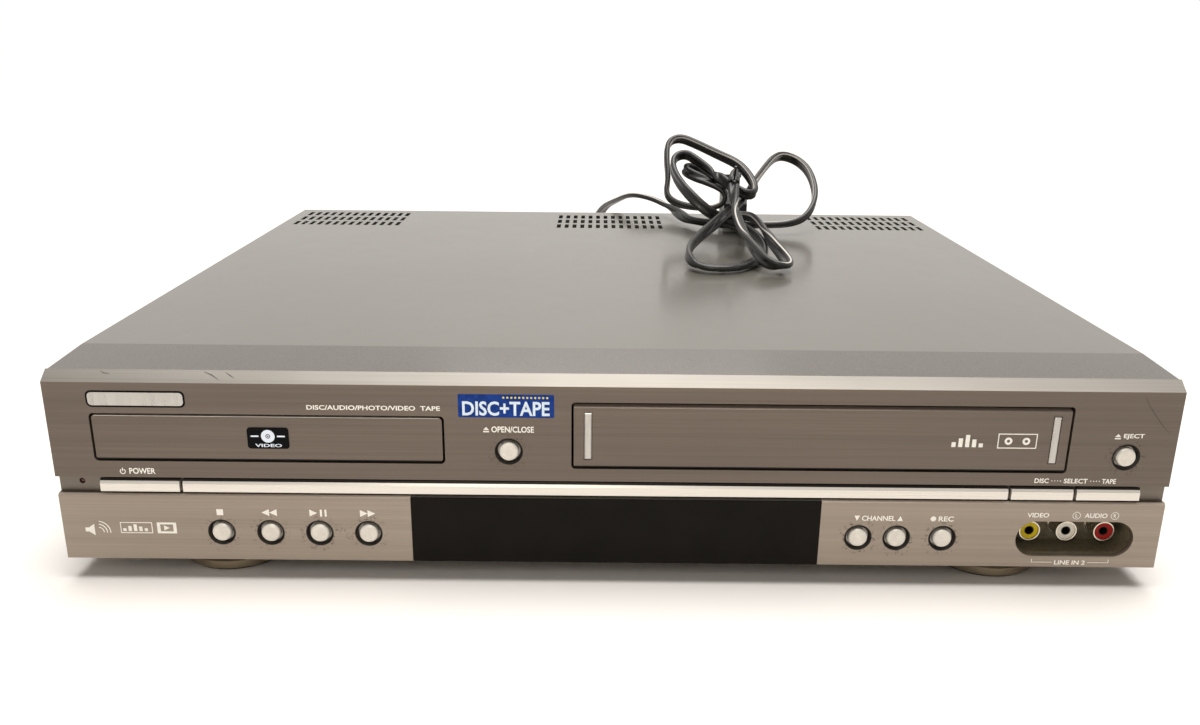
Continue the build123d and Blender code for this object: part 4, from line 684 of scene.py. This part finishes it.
def sweep_lead(name, line, section):
    """A closed tube of that section along the line."""
    tangents, widths = lead_widths(line)
    mesh = bpy.data.meshes.new(name)
    builder = bmesh.new()
    rings = []
    for spot, tangent, width in zip(line, tangents, widths):
        across = (width - tangent * width.dot(tangent)).normalized()
        up = tangent.cross(across)
        rings.append([builder.verts.new(spot + across * a + up * b) for a, b in section])
    count = len(section)
    for one, two in zip(rings, rings[1:]):
        for i in range(count):
            face = builder.faces.new((one[i], one[(i + 1) % count], two[(i + 1) % count], two[i]))
            face.smooth = True
            face.material_index = 1 if i == STRIPE_COLUMN else 0
    builder.faces.new(rings[0][::-1])
    builder.faces.new(rings[-1])
    bmesh.ops.recalc_face_normals(builder, faces=builder.faces)
    builder.to_mesh(mesh)
    builder.free()
    piece = bpy.data.objects.new(name, mesh)
    bpy.context.scene.collection.objects.link(piece)
    return piece


lead_covering = grained(
    "lead_covering", (0.012, 0.011, 0.010), (700, 700, 700), 0.0, (0.24, 0.38), 0.25, 0.00001
)
lead_stripe = grained("lead_stripe", (0.62, 0.60, 0.56), (700, 700, 700), 0.0, (0.35, 0.5), 0.10)
flat_lead = sweep_lead("flat_lead", lead_line, twin_section())
print("lead faces:", len(flat_lead.data.polygons))
flat_lead.data.materials.append(lead_covering)
flat_lead.data.materials.append(lead_stripe)
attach(flat_lead, "casing")
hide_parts("mains_lead", "lead_bundle")

# %% [markdown]
# Plug, relief and tie.
# The plug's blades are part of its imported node, so one material with two zones along y does it: rubber up
# to the plug's rear face, nickel beyond it.

# %% Plug, relief and tie
BLADE_LENGTH = 15.8
PLUG_RUBBER, BLADE_NICKEL = (0.013, 0.012, 0.011), (0.75, 0.72, 0.66)
blades_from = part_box("mains_plug")[1].y - BLADE_LENGTH * MM
print(f"blades start at y {(blades_from - FACE_Y) / MM:.1f} mm")
plug_finish = surface("plug_rubber_and_blades", PLUG_RUBBER, 0.0, 0.4)
is_blade = beyond(plug_finish, "Y", blades_from)
plug_colour = mix_colours(plug_finish, is_blade, PLUG_RUBBER, BLADE_NICKEL)
join(plug_finish, plug_colour, shader_of(plug_finish).inputs["Base Color"])
join(plug_finish, is_blade, shader_of(plug_finish).inputs["Metallic"])
emboss(plug_finish, noise(plug_finish, (1200, 1200, 1200)), 0.00002)
dress(plug_finish, "mains_plug")
dress(lead_covering, "lead_relief", "twist_tie", "mains_lead", "lead_bundle")

# %% [markdown]
# Printed marks, 1: the ink.
# The functions beside the buttons are screen printed in pale ink. Print has no thickness that could be
# seen, so a mark is a flat mesh a twentieth of a millimetre in front of its surface. Words are set with
# Blender's own font, turned into a mesh and fitted to the box that they fill on the drawing.

# %% Print helpers
PRINT_GAP = 0.05
INK_WEIGHT = 0.024  # how far each letter's outline is let out, in letter heights
ink = grained("pale_ink", (0.93, 0.90, 0.83), (900, 900, 900), 0.0, (0.5, 0.6), 0.05)


def on_front(name, material, mesh, body):
    """Turn a finished mesh into a piece that rides on a body."""
    mesh.materials.append(material)
    piece = bpy.data.objects.new(name, mesh)
    bpy.context.scene.collection.objects.link(piece)
    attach(piece, body)
    return piece


def flat_shapes(name, outlines, material=ink, y=0.0, body="casing"):
    """Flat marks on the front, each an outline of (x, z) points on the drawing."""
    mesh = bpy.data.meshes.new(name)
    builder = bmesh.new()
    for outline in outlines:
        corners = [builder.verts.new(place(x, y - PRINT_GAP, z)) for x, z in outline]
        builder.faces.new(corners)
    bmesh.ops.recalc_face_normals(builder, faces=builder.faces)
    for face in builder.faces:
        if face.normal.y > 0:
            face.normal_flip()
    builder.to_mesh(mesh)
    builder.free()
    return on_front(name, material, mesh, body)


def words(name, text, x, z, material=ink, y=0.0, body="casing"):
    """Words fitted to the box x by z on the drawing."""
    curve = bpy.data.curves.new(name, "FONT")
    curve.body = text
    curve.resolution_u = 3
    curve.offset = INK_WEIGHT
    carrier = bpy.data.objects.new(name + "_set", curve)
    bpy.context.scene.collection.objects.link(carrier)
    bpy.context.view_layer.update()
    graph = bpy.context.evaluated_depsgraph_get()
    mesh = bpy.data.meshes.new_from_object(carrier.evaluated_get(graph))
    bpy.data.objects.remove(carrier)
    xs = [v.co.x for v in mesh.vertices]
    zs = [v.co.y for v in mesh.vertices]
    for v in mesh.vertices:
        u = (v.co.x - min(xs)) / (max(xs) - min(xs))
        w = (v.co.y - min(zs)) / (max(zs) - min(zs))
        v.co = place(x[0] + u * (x[1] - x[0]), y - PRINT_GAP, z[0] + w * (z[1] - z[0]))
    mesh.materials.clear()
    return on_front(name, material, mesh, body)


# %% [markdown]
# Printed marks, 2: simple outlines.
# Every sign on the front is made of a few plain outlines: squares, bars, arrows, dots and parts of rings.
# Each helper gives a list of points in millimetres, and flat_shapes turns any number of them into one mark.

# %% Outline helpers


def square(x, z, half):
    """A square round (x, z)."""
    return [(x - half, z - half), (x + half, z - half), (x + half, z + half), (x - half, z + half)]


def bar(x, z):
    """A bar from x[0] to x[1] and from z[0] to z[1]."""
    return [(x[0], z[0]), (x[1], z[0]), (x[1], z[1]), (x[0], z[1])]


def box_line(x, z, line):
    """Four bars that line the inside of the box x by z."""
    between = (z[0] + line, z[1] - line)
    level = [bar(x, (z[1] - line, z[1])), bar(x, (z[0], z[0] + line))]
    return level + [bar((x[0], x[0] + line), between), bar((x[1] - line, x[1]), between)]


def level_bars(x, z, pitch, width, rises):
    """Bars of different height side by side, as on a level meter."""
    return [bar((x + pitch * i, x + pitch * i + width), (z, z + rise)) for i, rise in enumerate(rises)]


def arrow(x, z, half, way):
    """A triangle that points left, right, up or down."""
    dx, dz = {"left": (-1, 0), "right": (1, 0), "up": (0, 1), "down": (0, -1)}[way]
    tip = (x + dx * half, z + dz * half)
    base = [(x - dx * half + s * dz * half, z - dz * half + s * dx * half) for s in (-1, 1)]
    return [tip, *base]


def ring(x, z, outer, inner, start=0, stop=360, parts=24):
    """A ring, or a part of one, as short quads."""
    quads = []
    for i in range(parts):
        a, b = (math.radians(start + (stop - start) * k / parts) for k in (i, i + 1))
        rim = [(x + outer * math.cos(t), z + outer * math.sin(t)) for t in (a, b)]
        bore = [(x + inner * math.cos(t), z + inner * math.sin(t)) for t in (b, a)]
        quads.append(rim + bore)
    return quads


def dot(x, z, r, parts=24):
    """A filled circle."""
    turn = 2 * math.pi / parts
    return [(x + r * math.cos(i * turn), z + r * math.sin(i * turn)) for i in range(parts)]


# %% [markdown]
# Printed marks, 3: the words and signs.
# The words are plain function words and the signs are the usual ones for transport keys, sound and picture.
# Each stands where the drawing has it, as a box from left to right and from bottom to top.

# %% Marks of the upper panel
EJECT_ARROW = ((-1.15, -0.25), (1.15, -0.25), (0, 1.05))
EJECT_BAR = ((-1.15, -1.15), (1.15, -1.15), (1.15, -0.65), (-1.15, -0.65))
SELECT_ROW, FORMATS_ROW = (36.0, 38.0), (63.3, 65.2)
DOT_PITCH, DOTS_IN_A_ROW = 1.1, 4


def eject_sign(x, z):
    """The usual arrow over a bar, round (x, z)."""
    return [[(x + dx, z + dz) for dx, dz in part] for part in (EJECT_ARROW, EJECT_BAR)]


words("word_power", "POWER", (-186.1, -176), (36.3, 38.8))
flat_shapes("sign_power", ring(-188.6, 37.3, 1.15, 0.8, 120, 420) + [bar((-188.78, -188.42), (37.4, 38.8))])
words("word_open_close", "OPEN/CLOSE", (-46.4, -30.2), (54.8, 57.3))
flat_shapes("sign_open", eject_sign(-48.4, 56.0))
words("word_eject", "EJECT", (194.2, 202.1), (54.4, 56.7))
flat_shapes("sign_eject", eject_sign(192.0, 55.6))
words("word_disc", "DISC", (162.7, 168.2), SELECT_ROW)
words("word_select", "SELECT", (174.0, 183.2), SELECT_ROW)
words("word_tape", "TAPE", (188.7, 194.1), SELECT_ROW)
DOTS = [
    dot(start + DOT_PITCH * i, 37.0, 0.22, 10) for start in (169.4, 184.4) for i in range(DOTS_IN_A_ROW)
]
flat_shapes("dots_select", DOTS)
words("word_formats", "DISC/AUDIO/PHOTO/VIDEO  TAPE", (-116, -65.6), FORMATS_ROW)

# %% Marks of the transport keys
SIGN_Z, KEY_LABEL_Z = 20.4, (19.3, 21.5)
ARROW_HALF = 1.5
PAUSE_Z = (SIGN_Z - ARROW_HALF, SIGN_Z + ARROW_HALF)
flat_shapes("sign_stop", [square(-153.0, SIGN_Z, 1.3)])
flat_shapes("sign_rewind", [arrow(x, SIGN_Z, ARROW_HALF, "left") for x in (-135.3, -132.3)])
PAUSE_BARS = [bar((-114.0, -113.2), PAUSE_Z), bar((-112.2, -111.4), PAUSE_Z)]
flat_shapes("sign_play", [arrow(-116.6, SIGN_Z, ARROW_HALF, "right")] + PAUSE_BARS)
flat_shapes("sign_forward", [arrow(x, SIGN_Z, ARROW_HALF, "right") for x in (-96.9, -93.9)])
words("word_channel", "CHANNEL", (97.5, 110.6), KEY_LABEL_Z)
flat_shapes("signs_channel", [arrow(95.6, SIGN_Z, 1.1, "down"), arrow(112.5, SIGN_Z, 1.1, "up")])
words("word_rec", "REC", (127.5, 133.4), KEY_LABEL_Z)
flat_shapes("sign_rec", [dot(125.4, SIGN_Z, 1.1)])

# %% Marks of the front jacks
JACK_ROW, CHANNEL_ROW = (21.4, 23.4), (21.6, 23.1)
words("word_video", "VIDEO", (161.9, 170.4), JACK_ROW)
words("word_left", "L", (180.7, 181.6), CHANNEL_ROW)
words("word_audio", "AUDIO", (184.3, 193.2), JACK_ROW)
words("word_right", "R", (195.6, 196.6), CHANNEL_ROW)
flat_shapes("rings_left_right", ring(181.15, 22.35, 1.6, 1.38) + ring(196.1, 22.35, 1.6, 1.38))
words("word_line_in", "LINE IN 2", (175.2, 187.4), (1.0, 2.9))
BRACKET = [bar((166.0, 174.2), (1.9, 2.1)), bar((188.4, 196.6), (1.9, 2.1))]
BRACKET += [bar((166.0, 166.2), (2.1, 3.4)), bar((196.4, 196.6), (2.1, 3.4))]
flat_shapes("bracket_line_in", BRACKET)

# %% Signs of sound and picture
SOUND_FROM = (-201.2, 11.4)
WAVES = ring(*SOUND_FROM, 2.2, 1.85, -5, 85, 8) + ring(*SOUND_FROM, 3.5, 3.1, -5, 85, 10)
WAVES += ring(*SOUND_FROM, 4.8, 4.4, -5, 85, 12)
HORN = [(-204.9, 11.5), (-202.7, 9.9), (-202.7, 14.9), (-204.9, 13.3)]
flat_shapes("sign_sound", WAVES + [bar((-206.4, -204.9), (11.5, 13.3)), HORN])
LEVEL_BOX = box_line((-192.6, -180.0), (11.0, 15.75), 0.35)
LEVEL_BOX += level_bars(-191.6, 11.9, 2.1, 1.3, (1.2, 2.2, 2.9, 2.0, 1.3))
flat_shapes("sign_levels", LEVEL_BOX)
SCREEN = [bar((-178.2, -170.6), (11.0, 11.9)), bar((-178.2, -170.6), (14.9, 15.75))]
SCREEN += [bar((-178.2, -176.9), (11.9, 14.9)), bar((-171.9, -170.6), (11.9, 14.9))]
flat_shapes("sign_screen", SCREEN + [arrow(-174.4, 13.4, 1.1, "right")])

# %% [markdown]
# Badges.
# A small black badge on the tray front, a silver plate at the upper left and a blue sticker between the two
# openings are part of how the player looks. The badge carries a disc and a plain word, the sticker plain
# words and a row of dots, and the plate is blank. Each is a thin plate with rounded corners, so it is made as
# an outline that is pushed out a little.

# %% Thin plates
FACE_PIECE_Y = 0.1  # tray front and flap stand this far behind the panel's face


def rounded_outline(x, z, r, steps=5):
    """Outline of the box x by z with its corners rounded to r."""
    corners = ((x[1] - r, z[1] - r), (x[0] + r, z[1] - r), (x[0] + r, z[0] + r), (x[1] - r, z[0] + r))
    points = []
    for quarter, (cx, cz) in enumerate(corners):
        for step in range(steps + 1):
            angle = math.radians(90 * quarter + 90 * step / steps)
            points.append((cx + r * math.cos(angle), cz + r * math.sin(angle)))
    return points


def thin_plate(name, x, z, r, thickness, material, body, y=0.0):
    """A plate with rounded corners that lies on the front."""
    mesh = bpy.data.meshes.new(name)
    builder = bmesh.new()
    back = [builder.verts.new(place(px, y, pz)) for px, pz in rounded_outline(x, z, r)]
    front = [builder.verts.new(place(px, y - thickness, pz)) for px, pz in rounded_outline(x, z, r)]
    count = len(front)
    builder.faces.new(front)
    builder.faces.new(back[::-1])
    for i in range(count):
        builder.faces.new((front[i], back[i], back[(i + 1) % count], front[(i + 1) % count]))
    bmesh.ops.recalc_face_normals(builder, faces=builder.faces)
    builder.to_mesh(mesh)
    builder.free()
    return on_front(name, material, mesh, body)


# %% Badge and blank plate
BADGE_T, PLATE_T, PLATE_EDGE_T = 0.25, 0.16, 0.10
BADGE_FACE = FACE_PIECE_Y - BADGE_T
badge_black = grained(
    "badge_black", (0.004, 0.004, 0.005), (500, 500, 500), 0.0, (0.15, 0.25), 0.2, Specular_IOR_Level=0.05
)
badge_ink = grained("badge_ink", (0.80, 0.88, 1.0), (300, 300, 300), 0.0, (0.3, 0.4), 0.03)
thin_plate("tray_badge", (-139.4, -123.6), (47.3, 55.9), 1.2, BADGE_T, badge_black, "tray", FACE_PIECE_Y)
DISC_RINGS = ring(-131.5, 52.4, 2.6, 0.9, parts=32) + ring(-131.5, 52.4, 0.6, 0.3, parts=16)
flat_shapes("badge_disc", DISC_RINGS, badge_ink, BADGE_FACE, "tray")
BADGE_BARS = [bar((-138.0, -135.0), (52.1, 52.7)), bar((-128.0, -125.0), (52.1, 52.7))]
flat_shapes("badge_bars", BADGE_BARS, badge_ink, BADGE_FACE, "tray")
words("badge_word", "VIDEO", (-136.6, -126.4), (48.0, 49.3), badge_ink, BADGE_FACE, "tray")
thin_plate("name_plate_edge", (-198.9, -161.6), (63.6, 70.2), 2.0, PLATE_EDGE_T, badge_black, "casing")
thin_plate("name_plate", (-198.2, -162.3), (64.3, 69.5), 1.5, PLATE_T, trim_finish, "casing")

# %% Blue sticker
STICKER_T = 0.12
sticker_blue = grained(
    "sticker_blue", (0.006, 0.040, 0.24), (300, 300, 300), 0.0, (0.22, 0.34), 0.25, Specular_IOR_Level=0.10
)
sticker_yellow = grained("sticker_yellow", (0.85, 0.72, 0.10), (300, 300, 300), 0.0, (0.3, 0.4), 0.05)
sticker_white = grained("sticker_white", (0.72, 0.84, 0.95), (300, 300, 300), 0.0, (0.25, 0.35), 0.05)
thin_plate("blue_sticker", (-58.8, -22.5), (60.9, 70.1), 0.6, STICKER_T, sticker_blue, "casing")
words("sticker_words", "DISC+TAPE", (-57.2, -24.2), (61.6, 67.4), sticker_white, -STICKER_T)
STICKER_DOTS = [dot(-41.6 + 1.5 * i, 68.9, 0.42, 8) for i in range(12)]
flat_shapes("sticker_line", STICKER_DOTS, sticker_yellow, -STICKER_T)

# %% [markdown]
# Signs on the cassette flap.
# A cassette, drawn as a box with two reels, and a small level meter are printed on the flap. They ride on the
# flap's body, so that they swing in with it.

# %% Signs on the cassette flap
FLAP_CASSETTE = box_line((146.5, 161.5), (50.2, 56.3), 0.4)
FLAP_CASSETTE += ring(150.6, 53.2, 1.5, 0.6) + ring(157.4, 53.2, 1.5, 0.6)
flat_shapes("flap_cassette", FLAP_CASSETTE, ink, FACE_PIECE_Y, "door")
FLAP_LEVELS = level_bars(129.0, 50.6, 2.6, 1.6, (2.0, 3.6, 5.0, 3.2, 1.6))
flat_shapes("flap_levels", FLAP_LEVELS, ink, FACE_PIECE_Y, "door")

# %% [markdown]
# Wear.
# Years of use left a few thin scratches. Each one is a hair-thin dark strip that lies on the lacquer: one
# long curve at the right end of the upper panel and three short ones on the bevel.

# %% Scratches
BEVEL_SLOPE = 4.8 / 3.7  # depth for each millimetre of rise
TAPER = 0.3  # width of a scratch at its ends, as a share of its full width
scratch_dark = grained("scratch_dark", (0.045, 0.036, 0.030), (900, 900, 900), 0.0, (0.5, 0.6), 0.2)


def scratch(name, spots, width):
    """A thin strip through (x, z) spots on the flat face or, above it, on the bevel."""
    mesh = bpy.data.meshes.new(name)
    builder = bmesh.new()
    rows = []
    for i, (x, z) in enumerate(spots):
        before, after = spots[max(0, i - 1)], spots[min(len(spots) - 1, i + 1)]
        run = Vector((after[0] - before[0], after[1] - before[1])).normalized() * width / 2
        taper = TAPER if i in (0, len(spots) - 1) else 1.0
        row = []
        for side in (-1, 1):
            px, pz = x - side * taper * run.y, z + side * taper * run.x
            depth = max(0.0, pz - FACE_TOP) * BEVEL_SLOPE - PRINT_GAP
            row.append(builder.verts.new(place(px, depth, pz + PRINT_GAP)))
        rows.append(row)
    for one, two in zip(rows, rows[1:]):
        builder.faces.new((one[0], one[1], two[1], two[0]))
    builder.to_mesh(mesh)
    builder.free()
    return on_front(name, scratch_dark, mesh, "casing")


scratch("scratch_panel", [(199.8, 72.0), (202.0, 68.0), (205.0, 64.0), (208.3, 60.0), (212.0, 56.4)], 0.22)
scratch("scratch_bevel_1", [(-154.8, 76.6), (-151.5, 75.7), (-148.6, 74.4)], 0.28)
scratch("scratch_bevel_2", [(-146.6, 76.5), (-144.6, 75.6), (-142.8, 74.9)], 0.24)
scratch("scratch_bevel_3", [(-194.0, 76.7), (-192.4, 76.0), (-190.2, 75.9)], 0.22)

# %% [markdown]
# Remote sensor.
# A dark red lens, sunk in its small hole at the left end of the groove. It could be a scaled ball, but
# circles that shrink towards a peak give a shallow dome with a clean rim.

# %% Sensor lens
SENSOR, SENSOR_R = (-206.2, 32.0), 1.1
SENSOR_DEPTH, SENSOR_RISE = 3.6, 0.5
lens_finish = grained("sensor_plastic", (0.05, 0.004, 0.004), (400, 400, 400), 0.0, (0.08, 0.14), 0.2)


def dome(name, x, z, r, y, rise, material, body="casing", rings=4, parts=20):
    """A shallow dome on the front, its rim at depth y."""
    mesh = bpy.data.meshes.new(name)
    builder = bmesh.new()
    angles = [2 * math.pi * i / parts for i in range(parts)]
    loops = []
    for k in range(rings):
        climb = k / rings * math.pi / 2
        radius, depth = r * math.cos(climb), y - rise * math.sin(climb)
        circle = [place(x + radius * math.cos(a), depth, z + radius * math.sin(a)) for a in angles]
        loops.append([builder.verts.new(spot) for spot in circle])
    peak = builder.verts.new(place(x, y - rise, z))
    for one, two in zip(loops, loops[1:]):
        for i in range(parts):
            builder.faces.new((one[i], one[(i + 1) % parts], two[(i + 1) % parts], two[i]))
    for i in range(parts):
        builder.faces.new((loops[-1][i], loops[-1][(i + 1) % parts], peak))
    bmesh.ops.recalc_face_normals(builder, faces=builder.faces)
    for face in builder.faces:
        face.smooth = True
    builder.to_mesh(mesh)
    builder.free()
    return on_front(name, material, mesh, body)


lens = dome("sensor_lens", *SENSOR, SENSOR_R, SENSOR_DEPTH, SENSOR_RISE, lens_finish)
print("lens faces:", len(lens.data.polygons))

# %% [markdown]
# Screws.
# The cover is held by two screws on each side and three along the rear lip. A screw head is a turned
# profile, so it is spun about its axis, and its cross slot is a dark mark of painted shadow on top.

# %% Screw heads
HEAD = [(1.6, -1.5), (2.5, -1.25), (3.1, -0.8), (3.3, -0.3), (3.3, 0.0)]  # radius, height off the sheet
SLOT_HALF, SLOT_WIDE, SLOT_HEIGHT = 1.9, 0.28, -1.52
slot_painted_shadow = surface("slot_shadow", (0.01, 0.01, 0.01), 0.0, 0.7)


def screw(name, spot, outward, parts=24):
    """A round head on a sheet at spot, facing outward."""
    turn = Vector((0, 0, -1)).rotation_difference(Vector(outward)).to_matrix()
    angles = [2 * math.pi * i / parts for i in range(parts)]
    mesh = bpy.data.meshes.new(name)
    builder = bmesh.new()
    loops = []
    for r, h in HEAD:
        circle = [spot + turn @ Vector((r * math.cos(a), r * math.sin(a), h)) * MM for a in angles]
        loops.append([builder.verts.new(point) for point in circle])
    builder.faces.new(loops[0])
    for one, two in zip(loops, loops[1:]):
        for i in range(parts):
            side = builder.faces.new((one[i], two[i], two[(i + 1) % parts], one[(i + 1) % parts]))
            side.smooth = True
    # the cross slot: painted shadow in place of a cut slot
    for wide, high in ((SLOT_HALF, SLOT_WIDE), (SLOT_WIDE, SLOT_HALF)):
        corners = [(-wide, -high), (wide, -high), (wide, high), (-wide, high)]
        points = [spot + turn @ Vector((x, y, SLOT_HEIGHT)) * MM for x, y in corners]
        builder.faces.new([builder.verts.new(point) for point in points]).material_index = 1
    builder.to_mesh(mesh)
    builder.free()
    piece = on_front(name, zinc, mesh, "casing")
    mesh.materials.append(slot_painted_shadow)
    return piece


# %% Screws of the cover
SIDE_SCREWS = ((60, 14), (330, 14))  # y, z
REAR_SCREWS, REAR_SCREW_DROP = (-190, 0, 190), 4.6  # x, and depth below the cover's top
for side in (-1, 1):
    for index, (y, z) in enumerate(SIDE_SCREWS):
        name = f"side_screw_{'left' if side < 0 else 'right'}_{index + 1}"
        screw(name, place(side * HALF_WIDTH, y, z), (side, 0, 0))
for index, x in enumerate(REAR_SCREWS):
    screw(f"rear_screw_{index + 1}", place(x, CASE_DEPTH, COVER_TOP - REAR_SCREW_DROP), (0, 1, 0))
print("screws:", 2 * len(SIDE_SCREWS) + len(REAR_SCREWS))

# %% [markdown]
# The studio, 1: floor and room.
# A white room: the pale floor takes a soft shadow, and the world is white to the camera and a little less
# bright to glossy surfaces, which mirror it. For everything else it is a faint warm light that fills the
# shadows. A second room model would do the same, but three plain backgrounds that are chosen by the kind of
# ray cost nothing.

# %% Floor
FLOOR_SIZE = 6.0
half = FLOOR_SIZE / 2
floor_mesh = bpy.data.meshes.new("studio_floor")
corners = [(-half, -half, 0), (half, -half, 0), (half, half, 0), (-half, half, 0)]
floor_mesh.from_pydata(corners, [], [(0, 1, 2, 3)])
floor = bpy.data.objects.new("studio_floor", floor_mesh)
bpy.context.scene.collection.objects.link(floor)
floor_mesh.materials.append(surface("floor_paper", (0.88, 0.86, 0.84), 0.0, 0.9))

# %% World
world = bpy.data.worlds.new("white_room")
world.use_nodes = True
bpy.context.scene.world = world
tree = world.node_tree


def background(colour, strength):
    """A plain background of the world."""
    node = tree.nodes.new("ShaderNodeBackground")
    node.inputs["Color"].default_value = (*colour, 1)
    node.inputs["Strength"].default_value = strength
    return node.outputs["Background"]


def choose(by_ray, otherwise, then):
    """One background for the rays of a kind and another for the rest."""
    chosen = tree.nodes.new("ShaderNodeMixShader")
    tree.links.new(rays.outputs[by_ray], chosen.inputs["Fac"])
    tree.links.new(otherwise, chosen.inputs[1])
    tree.links.new(then, chosen.inputs[2])
    return chosen.outputs["Shader"]


rays = tree.nodes.new("ShaderNodeLightPath")
room = choose("Is Glossy Ray", background((1.0, 0.90, 0.80), 0.22), background((1.0, 0.96, 0.92), 0.75))
room = choose("Is Camera Ray", room, background((1, 1, 1), 1.0))
tree.links.new(room, tree.nodes["World Output"].inputs["Surface"])
print("world nodes:", len(tree.nodes))

# %% [markdown]
# The studio, 2: lamps.
# The portrait was lit from all over the sky above, with a brighter patch behind the player that shines on
# the cover. So a wide sun stands for the skylight, and three weak rectangular lamps for the ceiling, for a
# window at the rear and for the light that comes back from the front. The level is plain, so that each colour
# renders about as it is written.

# %% Lamps
SKY_ANGLE, SKY_ENERGY, SKY_DOWN = 54, 3.5, Vector((-0.07, -0.11, -1.0))
skylight_data = bpy.data.lights.new("wide_skylight", "SUN")
skylight_data.angle = math.radians(SKY_ANGLE)
skylight_data.energy = SKY_ENERGY
skylight_data.color = (1.0, 0.98, 0.95)
skylight = bpy.data.objects.new("wide_skylight", skylight_data)
skylight.rotation_euler = SKY_DOWN.to_track_quat("-Z", "Y").to_euler()
bpy.context.scene.collection.objects.link(skylight)


def soft_lamp(name, spot, aim, size, watts, colour):
    """A rectangular lamp at a place on the drawing that faces another place."""
    data = bpy.data.lights.new(name, "AREA")
    data.shape = "RECTANGLE"
    data.size, data.size_y = size
    data.energy = watts
    data.color = colour
    lamp = bpy.data.objects.new(name, data)
    facing = (place(*aim) - place(*spot)).to_track_quat("-Z", "Y").to_matrix().to_4x4()
    lamp.matrix_world = Matrix.Translation(place(*spot)) @ facing
    bpy.context.scene.collection.objects.link(lamp)
    print(f"{name}: {watts} W from {(place(*aim) - place(*spot)).length:.2f} m")


soft_lamp("ceiling_lamp", (20, -120, 800), (20, -40, 80), (0.35, 0.25), 0.9, (1.0, 0.96, 0.90))
soft_lamp("rear_window", (10, 1550, 1150), (10, 60, 80), (0.7, 0.6), 1.9, (1.0, 0.95, 0.90))
soft_lamp("front_lamp", (-75, -400, 330), (-75, 0, 25), (0.22, 0.16), 0.45, (1.0, 0.95, 0.88))
bpy.context.scene.view_settings.view_transform = "Standard"
